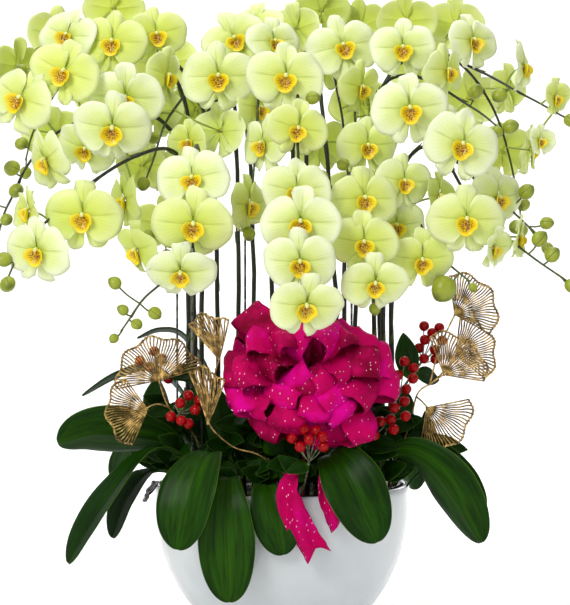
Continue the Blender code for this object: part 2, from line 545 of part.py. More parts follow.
# Tips of the ribbon loops on the bow's face, as (across, up) shares of its reach.
BOW_LOOPS = [
    (-0.68, 0.93), (-0.55, 0.50), (-0.28, 0.54), (-0.08, 0.66), (0.20, 0.68), (0.52, 0.70),
    (0.76, 0.56), (-0.92, 0.12), (-0.72, 0.06), (-0.44, 0.24), (-0.16, 0.04), (0.08, -0.02),
    (0.26, 0.02), (0.50, 0.12), (0.78, 0.22), (0.95, 0.24), (-0.31, -0.24), (-0.62, -0.40),
    (-0.80, -0.28), (0.06, -0.42), (0.36, -0.28), (0.42, -0.50), (0.72, -0.24), (0.97, -0.08),
    (-0.24, -0.62), (-0.54, -0.78),
]

Tail = namedtuple("Tail", "name route across width notch")
TAILS = [
    Tail("ribbon_tail_long", [(1.7, -15.6, 22.2), (1, -16.9, 20.6), (0.9, -17.3, 18.4),
                              (2.2, -17.2, 15.2), (4.3, -16.9, 12)], (0.95, -0.2, 0.3), 3.2, 1.0),
    Tail("ribbon_tail_short", [(5.2, -15.4, 22), (5.2, -16.4, 20), (5.9, -16.6, 17.6),
                               (6.9, -16.5, 15.2)], (0.95, -0.1, 0.3), 2.8, 0.8),
]
TAIL_THICKNESS = 0.0012
TAIL_TAPER = [0.5, 0.62, 0.78, 0.92, 1.0, 1.0, 1.0]

FAN_THICKNESS = 0.0014
FAN_WIRE_RADIUS = 0.0011
FAN_STEPS = 8
FAN_CUP = 0.16

# One fan: tip of its stem, middle direction, plane normal, radius and opening angle.
Fan = namedtuple("Fan", "x y z middle normal radius opening")
Pick = namedtuple("Pick", "name wires fans")
PICKS = [
    Pick("gold_pick_left",
         [[(-8.2, -6.2, 16.5), (-9.2, -7.4, 21.5), (-10.2, -9, 25), (-13, -12, 28.6),
           (-14.3, -11.4, 32)],
          [(-13, -12, 28.6), (-14.4, -12.6, 29), (-15.8, -12.8, 28.4)]],
         [Fan(-14.1, -11.5, 31.7, (-0.25, 0.1, 1), (0.1, -1, 0.15), 4.9, 175),
          Fan(-15.4, -12.8, 28.4, (-1, 0, -0.12), (0.15, -1, 0.1), 4.6, 120)]),
    Pick("gold_pick_middle",
         [[(0.9, -10.6, 16.5), (0.5, -12.1, 20.6), (-2.5, -13.6, 23.2), (-5.6, -14.4, 24.3),
           (-8.3, -14.3, 27), (-8.1, -14.5, 30.5), (-7, -14.5, 34.6)]],
         [Fan(-7.1, -14.4, 34.2, (-0.25, -0.05, 1), (-0.75, -0.65, 0), 5.4, 80),
          Fan(-8.4, -14.2, 26.8, (0.05, -0.05, 1), (-0.75, -0.65, 0.1), 6.4, 62)]),
    Pick("gold_pick_right",
         [[(12.6, -5.4, 16.5), (13.4, -6, 21.5), (15, -7.8, 26), (15.9, -9, 29.9),
           (17.5, -9.2, 31.2), (19.2, -9.4, 32.4)],
          [(15.8, -9, 29.6), (16.5, -9, 29), (17.2, -8.8, 28.2)],
          [(17.3, -9.2, 31), (18.6, -8.2, 35.4), (20.6, -7.6, 39.6)],
          [(17.3, -9.2, 31), (19.4, -7.6, 32.8), (20.8, -6.6, 34.6)]],
         [Fan(20.4, -7.7, 39.2, (0.75, 0.1, 0.5), (-0.1, -1, 0.1), 4.9, 125),
          Fan(19, -9.4, 32.2, (0.6, -0.1, 0.75), (-0.1, -1, 0), 4.9, 120),
          Fan(20.6, -6.7, 34.4, (0.9, 0.1, 0.35), (0.1, -1, 0.2), 4.6, 120),
          Fan(17, -8.8, 28.3, (0.72, 0, -0.7), (-0.1, -1, 0.1), 5.2, 110)]),
]

BERRY_RADIUS = 0.0058
TWIG_RADIUS = 0.0009
PLASTIC_LEAF_THICKNESS = 0.0012
PLASTIC_LEAF_WIDTH = 0.5

Sprig = namedtuple("Sprig", "name branches clusters leaves")
SPRIGS = [
    Sprig("berry_sprig_left",
          [[(-12.2, -3.2, 16.5), (-12.8, -4, 24), (-13.6, -5.6, 29), (-14.6, -7.2, 31.8)],
           [(-13, -4.4, 25.6), (-12.6, -8, 28.4), (-11.8, -10.8, 27.8)]],
          [[(-10.7, -12.6, 30), (-11.6, -13.6, 29.2), (-9.9, -13.2, 28.4), (-9.5, -12.4, 29.4),
            (-12.7, -13, 27.6), (-11.5, -13.6, 27.2), (-10.7, -13, 26.8)],
           [(-16.8, -6.4, 33.7), (-15.1, -6.2, 34.8), (-15.5, -7.2, 33), (-14.2, -6, 33.9),
            (-13.4, -7, 31.6)]],
          [((-13.4, -5.2, 28), (-16.4, -7, 29.6)), ((-12.7, -7, 28), (-15.6, -9.4, 27.8)),
           ((-12, -10.2, 28.2), (-9.6, -9.6, 31))]),
    Sprig("berry_sprig_centre",
          [[(1.7, -9.8, 16.5), (2.7, -14.4, 20.4), (3.1, -16.8, 22.8)]],
          [[(1.2, -18.6, 25.6), (2.1, -19.2, 24.7), (3.1, -19.4, 25.5), (2.6, -18.4, 26.5),
            (3.9, -18.6, 26.4), (4.7, -18.8, 24.7), (4.6, -19.2, 25.8)]],
          [((2.7, -14.4, 20.6), (-0.4, -15.6, 23.4)), ((3.3, -16.2, 22.2), (0.6, -18.2, 21.8))]),
    Sprig("berry_sprig_right",
          [[(11.2, -5.6, 16.5), (11.6, -6.4, 21.5), (12.4, -8, 26), (13.6, -9, 29.6),
            (16.6, -6.6, 33.6)]],
          [[(14.2, -12, 29.3), (14.3, -12.4, 27.6), (10.7, -12.6, 25.4), (12.9, -13, 26.1),
            (12.6, -12.2, 27.2), (11.4, -12.4, 27), (13, -12.6, 28.6)],
           [(14.3, -10.2, 33.8), (15.4, -9.6, 33), (15.3, -10.4, 31.8), (14.5, -10.6, 30.6),
            (13.6, -10, 32.2)],
           [(16.9, -6.2, 37.8), (18.7, -6.2, 37.6), (17.8, -6.8, 37), (16.9, -7, 36.2),
            (19, -6.6, 36.1), (16.3, -6.4, 35.2), (18.1, -7.2, 35), (16.8, -7.4, 34),
            (18.2, -6.6, 33.9)]],
          [((15.2, -7.9, 31.4), (14.4, -6.4, 37)), ((15.6, -7.4, 32.2), (19, -5, 31.4)),
           ((12.4, -8, 26), (16.4, -9.8, 27.2)), ((13, -8.6, 28), (10.6, -7, 26))]),
]

STAKE_RADIUS = 0.0014
STAKES = [(-12.7, -0.9, 52), (-10.7, -4.5, 47), (-4.5, 1.9, 50), (3.9, -3.2, 53), (8.4, -3.2, 48),
          (13.2, 0.2, 51)]


def make_bow(material):
    centre = metres(BOW_CENTRE)
    reach = metres(BOW_REACH)
    tips = []
    for across, up in BOW_LOOPS:
        out = math.sqrt(max(0.05, 1 - across * across - up * up))
        tips.append(Vector((across, -out, up)).normalized())

    def place(direction):
        nearness = max(math.exp((direction.dot(tip) - 1) * BOW_LOOP_SPREAD) for tip in tips)
        share = BOW_LEANEST + (1 - BOW_LEANEST) * nearness
        return centre + Vector((direction.x * reach.x, direction.y * reach.y, direction.z * reach.z)) * share

    def build(mesh):
        rings = [[mesh.verts.new(place(Vector((0, 0, -1))))] * BOW_TURNS]
        for ring in range(1, BOW_RINGS):
            rise = math.pi * ring / BOW_RINGS
            turns = [math.tau * step / BOW_TURNS for step in range(BOW_TURNS)]
            rings.append([mesh.verts.new(place(Vector(
                (math.cos(turn) * math.sin(rise), math.sin(turn) * math.sin(rise), -math.cos(rise)))))
                for turn in turns])
        rings.append([mesh.verts.new(place(Vector((0, 0, 1))))] * BOW_TURNS)
        for low, high in zip(rings, rings[1:]):
            for step in range(BOW_TURNS):
                after = (step + 1) % BOW_TURNS
                corners = [low[step], low[after], high[after], high[step]]
                mesh.faces.new(list(dict.fromkeys(corners)))

    body = object_from("loops", build, material)
    wire = smooth_route([metres(point) for point in [(2.8, -12, 30), (2.6, -11, 22), (2.4, -9.4, 16.5)]], 2)
    wire[-1].z = GROWN_FROM
    radii = [BOW_WIRE_RADIUS] * len(wire)
    post = object_from("wire", lambda mesh: add_tube(mesh, wire, radii, 5), material)
    return grown_together("bow", [body, post], material)


def make_tail(tail, material):
    route = even_steps(smooth_route([metres(point) for point in tail.route], 6), len(TAIL_TAPER))
    tops, bottoms = [], []
    along_all = directions(route)
    for place, (centre, along, share) in enumerate(zip(route, along_all, TAIL_TAPER)):
        across = Vector(tail.across)
        across = (across - along * across.dot(along)).normalized()
        face = across.cross(along)
        half = tail.width * CM * share / 2
        cut = tail.notch * CM if place == len(route) - 1 else 0.0
        row = [centre - across * half, centre - along * cut, centre + across * half]
        tops.append([point + face * TAIL_THICKNESS / 2 for point in row])
        bottoms.append([point - face * TAIL_THICKNESS / 2 for point in row])
    return object_from(tail.name, lambda mesh: add_strip(mesh, tops, bottoms), material)


def add_fan(mesh, fan):
    """Cupped plate in the shape of a ginkgo leaf, its stem end at the pick's wire."""
    stem = metres((fan.x, fan.y, fan.z))
    middle = Vector(fan.middle).normalized()
    normal = Vector(fan.normal)
    normal = (normal - middle * normal.dot(middle)).normalized()
    side = middle.cross(normal)
    radius = fan.radius * CM

    def place(turn, share, offset):
        wave = 1 + 0.05 * math.cos(turn * 9)
        reach = radius * share * wave
        cup = FAN_CUP * reach * share * math.cos(turn * 2)
        return (stem + middle * reach * math.cos(turn) + side * reach * math.sin(turn)
                + normal * (cup + offset))

    half = math.radians(fan.opening) / 2
    turns = [-half + 2 * half * step / (FAN_STEPS - 1) for step in range(FAN_STEPS)]
    sheets = []
    for offset in (FAN_THICKNESS / 2, -FAN_THICKNESS / 2):
        tip = mesh.verts.new(stem - middle * 0.002 + normal * offset)
        inner = [mesh.verts.new(place(turn, 0.55, offset)) for turn in turns]
        outer = [mesh.verts.new(place(turn, 1.0, offset)) for turn in turns]
        sheets.append((tip, inner, outer))
        for low, high in zip(range(FAN_STEPS - 1), range(1, FAN_STEPS)):
            mesh.faces.new((tip, inner[low], inner[high]))
            mesh.faces.new((inner[low], outer[low], outer[high], inner[high]))
    (tip_a, inner_a, outer_a), (tip_b, inner_b, outer_b) = sheets
    rim_a = [tip_a, inner_a[0], *outer_a, inner_a[-1]]
    rim_b = [tip_b, inner_b[0], *outer_b, inner_b[-1]]
    for place_now in range(len(rim_a)):
        after = (place_now + 1) % len(rim_a)
        mesh.faces.new((rim_a[after], rim_a[place_now], rim_b[place_now], rim_b[after]))


def make_pick(pick, material):
    pieces = []
    for place, wire in enumerate(pick.wires):
        route = smooth_route([metres(point) for point in wire], 2)
        if place == 0:
            route[0].z = GROWN_FROM
        radii = [FAN_WIRE_RADIUS * (1 - 0.05 * place)] * len(route)
        pieces.append(object_from("wire", lambda mesh: add_tube(mesh, route, radii, 5), material))
    for fan in pick.fans:
        pieces.append(object_from("fan", lambda mesh: add_fan(mesh, fan), material))
    return grown_together(pick.name, pieces, material)


def add_oval(mesh, root, tip):
    """Small pointed leaf from root to tip, a closed plate that lies about level across."""
    along = tip - root
    across = along.cross(Vector((0, -1, 0.35))).normalized()
    face = along.cross(across).normalized() * PLASTIC_LEAF_THICKNESS / 2
    shares = [(0.0, 0.06), (0.25, 0.36), (0.55, 0.5), (0.85, 0.26), (1.0, 0.03)]
    rows = [[root + along * step + across * along.length * PLASTIC_LEAF_WIDTH * wide * edge
             for edge in (-1, 0, 1)] for step, wide in shares]
    add_strip(mesh, [[point + face for point in row] for row in rows],
              [[point - face for point in row] for row in rows])


def make_sprig(sprig, material):
    pieces, trunk = [], []
    for place, branch in enumerate(sprig.branches):
        route = smooth_route([metres(point) for point in branch], 3)
        if place == 0:
            route[0].z = GROWN_FROM
        trunk += route[2:]
        radii = [TWIG_RADIUS * (1.7 - 0.1 * place)] * len(route)
        pieces.append(object_from("trunk", lambda mesh: add_tube(mesh, route, radii, 5), material))
    for cluster in sprig.clusters:
        middle = sum((metres(point) for point in cluster), Vector()) / len(cluster)
        joint = nearest_on(trunk, middle - Vector((0, 0, 0.02)))
        for point in cluster:
            berry = metres(point)
            pieces.append(object_from(
                "twig", lambda mesh: add_tube(mesh, [joint, berry], [TWIG_RADIUS] * 2, 3), material))

            def ball(mesh):
                made = bmesh.ops.create_icosphere(mesh, subdivisions=1, radius=BERRY_RADIUS)
                bmesh.ops.translate(mesh, verts=made["verts"], vec=berry)

            pieces.append(object_from("berry", ball, material))
    for root, tip in sprig.leaves:
        start = nearest_on(trunk, metres(root))
        pieces.append(object_from("leaf", lambda mesh: add_oval(mesh, start, metres(tip)), material))
    return grown_together(sprig.name, pieces, material)


def make_stake(number, stake, material):
    x, y, top = stake
    route = [Vector((x * CM, y * CM, GROWN_FROM)), Vector((x * CM, y * CM, top * CM))]
    return object_from(f"stake_{number}", lambda mesh: add_tube(mesh, route, [STAKE_RADIUS] * 2, 6),
                       material)


def main():
    clear_scene()
    make_bowl(principled("bowl_white", (0.80, 0.82, 0.83), 0.12))
    make_medium(principled("bark_mix", (0.05, 0.035, 0.025), 0.9))
    flower = principled("spike_pale_yellow", (0.76, 0.86, 0.36), 0.45)
    for spike in SPIKES:
        make_spike(spike, flower)
    leaf_green = principled("leaf_dark_green", (0.016, 0.06, 0.008), 0.35)
    for leaf in LEAVES:
        make_leaf(leaf, leaf_green)
    ribbon = principled("ribbon_magenta", (0.72, 0.0, 0.22), 0.55)
    make_bow(ribbon)
    for tail in TAILS:
        make_tail(tail, ribbon)
    gold = principled("gold_wire", (0.72, 0.55, 0.28), 0.3, 1.0)
    for pick in PICKS:
        make_pick(pick, gold)
    berry_red = principled("berry_red", (0.6, 0.01, 0.015), 0.15)
    for sprig in SPRIGS:
        make_sprig(sprig, berry_red)
    stake_green = principled("stake_dark", (0.03, 0.05, 0.03), 0.5)
    for number, stake in enumerate(STAKES, 1):
        make_stake(number, stake, stake_green)


main()
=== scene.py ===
"""A potted orchid in its looks: arching spikes of pale yellow-green flowers, strap leaves,
a ribbon bow, gold fan picks and berry sprigs in a round white bowl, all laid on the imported
model. Metres, +Z up, the front faces -Y, the foot stands on Z = 0."""

import logging
import math
import random
from collections.abc import Sequence
from dataclasses import dataclass, field
from enum import Enum

import bmesh
import bpy
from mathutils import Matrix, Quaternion, Vector, noise


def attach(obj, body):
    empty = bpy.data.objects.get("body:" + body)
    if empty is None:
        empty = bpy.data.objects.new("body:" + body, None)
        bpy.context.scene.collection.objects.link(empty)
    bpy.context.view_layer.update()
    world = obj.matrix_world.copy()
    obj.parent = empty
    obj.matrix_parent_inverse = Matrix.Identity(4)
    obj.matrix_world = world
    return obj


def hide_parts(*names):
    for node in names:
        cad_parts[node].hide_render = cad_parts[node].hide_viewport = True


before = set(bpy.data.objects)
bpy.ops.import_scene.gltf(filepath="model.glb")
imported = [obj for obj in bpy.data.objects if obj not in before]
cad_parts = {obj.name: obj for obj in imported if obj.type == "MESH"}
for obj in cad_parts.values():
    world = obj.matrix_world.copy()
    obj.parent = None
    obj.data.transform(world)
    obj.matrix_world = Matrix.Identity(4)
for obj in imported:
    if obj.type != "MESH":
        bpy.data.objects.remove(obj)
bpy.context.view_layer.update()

CM = 0.01
LOG = logging.getLogger("orchid")

Point = tuple[float, float, float]
Colour = tuple[float, float, float]


def shade(red: float, green: float, blue: float) -> Colour:
    """Linear colour from screen values.

    Args:
        red: Its red, from 0 to 255.
        green: Its green.
        blue: Its blue.

    Returns:
        The colour, from 0 to 1.
    """
    return tuple(
        (c / 255 / 12.92) if c <= 10 else ((c / 255 + 0.055) / 1.055) ** 2.4
        for c in (red, green, blue)
    )


def cm(point: Sequence[float]) -> Vector:
    """Vector in metres from a point in centimetres."""
    return Vector(point) * CM


def blend(low: float, high: float, share: float) -> float:
    """Number at this share of the way from low to high."""
    return low + (high - low) * share


def eased(low: float, high: float, value: float) -> float:
    """Smooth step from 0 at low to 1 at high."""
    share = min(1.0, max(0.0, (value - low) / (high - low)))
    return share * share * (3 - 2 * share)


def smooth_route(points: Sequence[Vector], steps: int) -> list[Vector]:
    """Catmull-Rom curve through some points.

    Args:
        points: The knots, in order.
        steps: Steps per span.

    Returns:
        The points of the curve, both ends included.
    """
    knots = [points[0] * 2 - points[1], *points, points[-1] * 2 - points[-2]]
    route = []
    for before, start, end, after in zip(knots, knots[1:], knots[2:], knots[3:]):
        for step in range(steps):
            t = step / steps
            bend = (2 * before - 5 * start + 4 * end - after) * t * t
            twist = (3 * start - before - 3 * end + after) * t * t * t
            route.append((2 * start + (end - before) * t + bend + twist) / 2)
    return [*route, points[-1].copy()]


def even_steps(route: Sequence[Vector], count: int) -> list[Vector]:
    """The route sampled at evenly spaced places.

    Args:
        route: Points of a curve.
        count: How many places to return.

    Returns:
        The places, from the first point of the route to its last.
    """
    lengths = [0.0]
    for start, end in zip(route, route[1:]):
        lengths.append(lengths[-1] + (end - start).length)
    places, index = [], 0
    for step in range(count):
        target = lengths[-1] * step / (count - 1)
        while index < len(route) - 2 and lengths[index + 1] < target:
            index += 1
        span = lengths[index + 1] - lengths[index]
        places.append(route[index].lerp(route[index + 1], (target - lengths[index]) / span))
    return places


def directions(route: Sequence[Vector]) -> list[Vector]:
    """Unit direction of the route at each of its points."""
    ends = [route[0], *route, route[-1]]
    return [(after - before).normalized() for before, after in zip(ends, ends[2:])]


# How far apart the three noises of a crumple are read, one for each axis.
CRUMPLE_APART = ((0.0, 0.0, 0.0), (19.1, 33.4, 47.2), (74.2, -24.5, 99.4))


def crumple(point: Vector, size: float, depth: float, seed: float = 0.0) -> Vector:
    """Push of a crumpled surface at a point.

    Args:
        point: Where, in metres.
        size: Size of the folds, in metres.
        depth: How far the folds push, in metres.
        seed: Number that changes the pattern.

    Returns:
        The push, in metres.
    """
    place = point / size + Vector((seed, seed * 1.7, seed * 0.3))
    return Vector([noise.noise(place + Vector(apart)) for apart in CRUMPLE_APART]) * depth


class Value:
    """Socket of a shader node that takes part in sums like a number."""

    def __init__(self, finish: "Finish", socket: bpy.types.NodeSocket) -> None:
        """Keeps the socket and the finish that it belongs to."""
        self.finish, self.socket = finish, socket

    def maths(self, operation: str, *terms: "Value | float") -> "Value":
        """Adds a Math node.

        Args:
            operation: Name of the Math node's operation.
            terms: Its values, in order.

        Returns:
            The node's result.
        """
        return self.finish.node("ShaderNodeMath", {"operation": operation}, dict(enumerate(terms)))

    def __add__(self, other: "Value | float") -> "Value":
        """Adds."""
        return self.maths("ADD", self, other)

    def __sub__(self, other: "Value | float") -> "Value":
        """Subtracts."""
        return self.maths("SUBTRACT", self, other)

    def __mul__(self, other: "Value | float") -> "Value":
        """Multiplies."""
        return self.maths("MULTIPLY", self, other)

    def __pow__(self, other: "Value | float") -> "Value":
        """Raises to a power."""
        return self.maths("POWER", self, other)

    def __gt__(self, other: float) -> "Value":
        """1 where this is greater, or 0."""
        return self.maths("GREATER_THAN", self, other)

    def __rsub__(self, other: float) -> "Value":
        """Subtracts from a number."""
        return self.maths("SUBTRACT", other, self)

    __radd__ = __add__

    def sine(self) -> "Value":
        """Sine of this."""
        return self.maths("SINE", self)

    def size(self) -> "Value":
        """This without its sign."""
        return self.maths("ABSOLUTE", self)

    def step(self, low: float, high: float) -> "Value":
        """Smooth change from 0 to 1.

        Args:
            low: Where it is 0.
            high: Where it is 1, which may be the smaller of the two.

        Returns:
            The change.
        """
        return self.finish.node(
            "ShaderNodeMapRange",
            {"interpolation_type": "SMOOTHSTEP"},
            {"Value": self, "From Min": low, "From Max": high},
        )


# Strength of each finer layer of a noise, as a share of the layer before it.
FINE_LAYERS = 0.55


class Finish:
    """Material of one finish, whose nodes are added with node()."""

    def __init__(self, name: str, **fixed: float | Colour) -> None:
        """Starts the material.

        Args:
            name: Name of the material.
            fixed: Values that are the same all over, set on the shader's own sockets, with
                underscores for the spaces in their names.
        """
        self.material = bpy.data.materials.new(name)
        self.material.use_nodes = True
        self.tree = self.material.node_tree
        self.surface = self.tree.nodes["Principled BSDF"]
        for socket, value in fixed.items():
            self.put(self.surface.inputs[socket.replace("_", " ")], value)

    def put(self, socket: bpy.types.NodeSocket, value: "Value | float | Sequence[float]") -> None:
        """Links a value to a socket, or sets the socket to it.

        Args:
            socket: An input.
            value: A Value, a number, a vector or a colour.
        """
        if isinstance(value, Value):
            self.tree.links.new(value.socket, socket)
        elif socket.type == "RGBA" and len(value) == 3:
            socket.default_value = (*value, 1.0)
        else:
            socket.default_value = value

    def node(self, kind: str, settings: dict | None = None, inputs: dict | None = None,
             out: int | str = 0) -> Value:
        """Adds a node.

        Args:
            kind: The node's type.
            settings: Its own settings, set first.
            inputs: Values or links of its sockets, by name or number.
            out: Name or number of the output wanted.

        Returns:
            That output.
        """
        made = self.tree.nodes.new(kind)
        for name, value in (settings or {}).items():
            setattr(made, name, value)
        for name, value in (inputs or {}).items():
            self.put(made.inputs[name], value)
        return Value(self, made.outputs[out])

    def read(self, channel: str) -> Value:
        """A channel of the mesh, such as how far along a leaf a point lies."""
        return self.node("ShaderNodeAttribute", {"attribute_name": channel}, out="Fac")

    def place(self) -> Value:
        """Position on the piece, in metres."""
        return self.node("ShaderNodeTexCoord", out="Object")

    def grain(self, scale: float, detail: float = 3.0, where: Value | None = None) -> Value:
        """Cloudy noise from 0 to 1.

        Args:
            scale: Waves per metre.
            detail: How many finer layers it has.
            where: Position to read it at.

        Returns:
            The noise.
        """
        return self.node(
            "ShaderNodeTexNoise", None,
            {"Vector": where or self.place(), "Scale": scale, "Detail": detail,
             "Roughness": FINE_LAYERS},
        )

    def mixed(self, low: "Value | Colour", high: "Value | Colour", share: "Value | float") -> Value:
        """Mix of two colours.

        Args:
            low: Colour at share 0.
            high: Colour at share 1.
            share: How much of the second.

        Returns:
            The mixed colour.
        """
        return self.node("ShaderNodeMix", {"data_type": "RGBA", "blend_type": "MIX"},
                         {0: share, 6: low, 7: high}, out=2)

    def bump(self, height: Value, distance: float, strength: float = 1.0) -> None:
        """Raises the surface by a height, where 1 stands for this distance in metres."""
        self.shine(Normal=self.node("ShaderNodeBump", None, {
            "Height": height, "Distance": distance, "Strength": strength}))

    def shine(self, **inputs: "Value | float | Colour") -> None:
        """Sets or links inputs of the main shader, underscores standing for spaces."""
        for name, value in inputs.items():
            self.put(self.surface.inputs[name.replace("_", " ")], value)


class Slot(Enum):
    """Material slot of the record that a piece takes its finish from."""

    BOWL = "bowl_white"
    MEDIUM = "bark_mix"
    FLOWER = "flower_spike"
    LEAF = "orchid_leaf"
    RIBBON = "ribbon_magenta"
    GOLD = "gold_wire"
    BERRY = "berry_red"
    STAKE = "stake_dark"


# How far a ball's first and last rings stand off its poles, in rings.
POLE_GAP = 0.12


class Form:
    """Mesh being made, with the channels along, across and tint at its points."""

    def __init__(self, tint: float = 0.5) -> None:
        """Starts empty.

        Args:
            tint: Tint of the points that follow.
        """
        self.points: list[Vector] = []
        self.faces: list[tuple[int, ...]] = []
        self.along: list[float] = []
        self.across: list[float] = []
        self.tints: list[float] = []
        self.tint = tint

    def point(self, place: Vector, along: float = 0.0, across: float = 0.0) -> int:
        """Adds a point.

        Args:
            place: Where, in metres.
            along: Its channel along.
            across: Its channel across.

        Returns:
            Its number.
        """
        self.points.append(place)
        self.along.append(along)
        self.across.append(across)
        self.tints.append(self.tint)
        return len(self.points) - 1

    def quads(self, rows: Sequence[Sequence[int]], looped: bool = False, turned: bool = False) -> None:
        """Joins rows of points with quads.

        Args:
            rows: Rows of equal length.
            looped: Whether each row closes on itself.
            turned: Whether the faces look the other way.
        """
        for low, high in zip(rows, rows[1:]):
            for here in range(len(low) - (not looped)):
                after = (here + 1) % len(low)
                corners = (low[here], low[after], high[after], high[here])
                self.faces.append(corners[::-1] if turned else corners)

    def plate(self, rows: Sequence[Sequence[Vector]], thick: float, edge: float) -> None:
        """Thin closed body about a grid of points, thinner towards its edges.

        Args:
            rows: The points of its middle surface, row by row.
            thick: Its thickness in the middle.
            edge: Thickness at the edges, as a share of that.
        """
        height, width = len(rows), len(rows[0])
        sides: list[list[list[int]]] = [[], []]
        for i, row in enumerate(rows):
            before, after = rows[max(0, i - 1)], rows[min(height - 1, i + 1)]
            for side in sides:
                side.append([])
            for j, place in enumerate(row):
                down = after[j] - before[j]
                over = row[min(width - 1, j + 1)] - row[max(0, j - 1)]
                normal = over.cross(down).normalized()
                inner = min(j, width - 1 - j, i, height - 1 - i)
                half = thick / 2 * (edge if inner == 0 else blend(edge, 1.0, min(1.0, inner / 2)))
                across = blend(-1.0, 1.0, j / (width - 1))
                for side, sign in zip(sides, (1, -1)):
                    side[-1].append(self.point(place + normal * half * sign, i / (height - 1), across))
        top, low = sides
        self.quads(top)
        self.quads(low, turned=True)
        rims = [grid[0] + [row[-1] for row in grid[1:-1]] + grid[-1][::-1]
                + [row[0] for row in grid[-2:0:-1]] for grid in (top, low)]
        self.quads([rims[1], rims[0]], looped=True)

    def tube(self, route: Sequence[Vector], radii: Sequence[float], sides: int,
             start: float = 0.0, end: float = 1.0, flat: float = 1.0) -> None:
        """Closed round bar along a route.

        Args:
            route: Its centre line.
            radii: Its radius at each point.
            sides: Sides of its cross-section.
            start: The channel along at its first point.
            end: The channel along at its last point.
            flat: Height of the cross-section as a share of its width.
        """
        along = directions(route)
        normal = along[0].orthogonal().normalized()
        rings = []
        for step, (centre, direction, radius) in enumerate(zip(route, along, radii)):
            normal = (normal - direction * normal.dot(direction)).normalized()
            other = direction.cross(normal)
            share = blend(start, end, step / (len(route) - 1))
            rings.append([
                self.point(centre + (normal * math.cos(turn) + other * (math.sin(turn) * flat)) * radius,
                           share, side / sides)
                for side in range(sides) for turn in (math.tau * side / sides,)
            ])
        self.quads(rings, looped=True)
        self.faces.append(tuple(rings[0][::-1]))
        self.faces.append(tuple(rings[-1]))

    def ball(self, centre: Vector, radius: float, sides: int = 14, rings: int = 8,
             stretch: Vector | None = None, squeeze: float = 1.0) -> None:
        """Round or egg-shaped body.

        Args:
            centre: Its middle.
            radius: Its half length.
            sides: Sides round it.
            rings: Rings from end to end.
            stretch: Direction of its long axis.
            squeeze: Its half width as a share of its half length.
        """
        axis = (stretch or Vector((0, 0, 1))).normalized()
        turns = [math.pi * (ring + POLE_GAP) / (rings + 2 * POLE_GAP) for ring in range(rings + 1)]
        route = [centre - axis * radius * math.cos(turn) for turn in turns]
        self.tube(route, [radius * squeeze * math.sin(turn) for turn in turns], sides)

    def build(self, name: str, finish: Finish, slot: Slot, *replaced: str,
              smooth: bool = True) -> bpy.types.Object:
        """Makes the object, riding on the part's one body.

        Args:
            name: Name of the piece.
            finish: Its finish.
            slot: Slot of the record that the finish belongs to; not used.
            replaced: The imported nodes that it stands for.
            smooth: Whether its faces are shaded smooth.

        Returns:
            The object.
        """
        data = bpy.data.meshes.new(name)
        data.from_pydata([tuple(place) for place in self.points], [], self.faces)
        for channel, values in (("along", self.along), ("across", self.across), ("tint", self.tints)):
            data.attributes.new(channel, "FLOAT", "POINT").data.foreach_set("value", values)
        body = bmesh.new()
        body.from_mesh(data)
        bmesh.ops.recalc_face_normals(body, faces=body.faces)
        for face in body.faces:
            face.smooth = smooth
        body.to_mesh(data)
        body.free()
        data.materials.append(finish.material)
        obj = bpy.data.objects.new(name, data)
        bpy.context.scene.collection.objects.link(obj)
        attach(obj, "root")
        if replaced:
            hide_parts(*replaced)
        return obj


class PetalFinish(Finish):
    """Soft petals, yellow-green at the heart and pale towards the rim, with fine veins, and painted shade
    down each petal's middle, between the petals near the heart and on flowers turned aside or further back.
    """

    HEART = shade(182, 202, 62)
    BODY = shade(222, 235, 152)
    RIM = shade(238, 246, 204)
    RIPE_AND_SHADE = shade(212, 226, 92)
    SHADED = shade(172, 190, 70)
    VEIN_AND_SHADE = shade(158, 178, 52)

    def __init__(self) -> None:
        """Builds the nodes."""
        super().__init__("petal_pale_green", Roughness=0.46, Subsurface_Weight=0.12,
                         Subsurface_Scale=0.002, Subsurface_Radius=(1.0, 0.9, 0.35),
                         Sheen_Weight=0.08, Sheen_Roughness=0.5, IOR=1.4)
        along, across, tint = self.read("along"), self.read("across"), self.read("tint")
        cloud = self.grain(60.0, 2.0)
        body = self.mixed(self.HEART, self.BODY, (along + cloud * 0.16).step(0.05, 0.52))
        body = self.mixed(body, self.RIM, (along + cloud * 0.3).step(0.55, 1.12))
        # Yellow-green and shaded colours follow each flower's tint, which is partly its own and partly
        # painted shade on flowers turned aside or further back.
        body = self.mixed(body, self.RIPE_AND_SHADE, tint.step(0.35, 0.9) * (1.1 - along * 0.6))
        body = self.mixed(body, self.SHADED, tint.step(0.85, 1.6) * 0.95)
        vein = (across * 30.0 + self.grain(90.0) * 2.4).sine().size() ** 6.0
        # Painted shade: a darker line down the crease in each petal's middle, and darker sides near the
        # heart where the petals overlap.
        crease_shade = across.size().step(0.075, 0.0) * along.step(0.98, 0.5)
        fold = across.size().step(0.66, 1.0) * along.step(0.85, 0.15)
        vein_and_shade_mask = vein * 0.17 * along.step(1.0, 0.25) + crease_shade * 0.40 + fold * 0.70
        self.shine(Base_Color=self.mixed(body, self.VEIN_AND_SHADE, vein_and_shade_mask),
                   Roughness=0.40 + cloud * 0.14)
        self.bump(vein * -0.5 + self.grain(520.0, 2.0) * 0.5, 0.00022, 0.6)


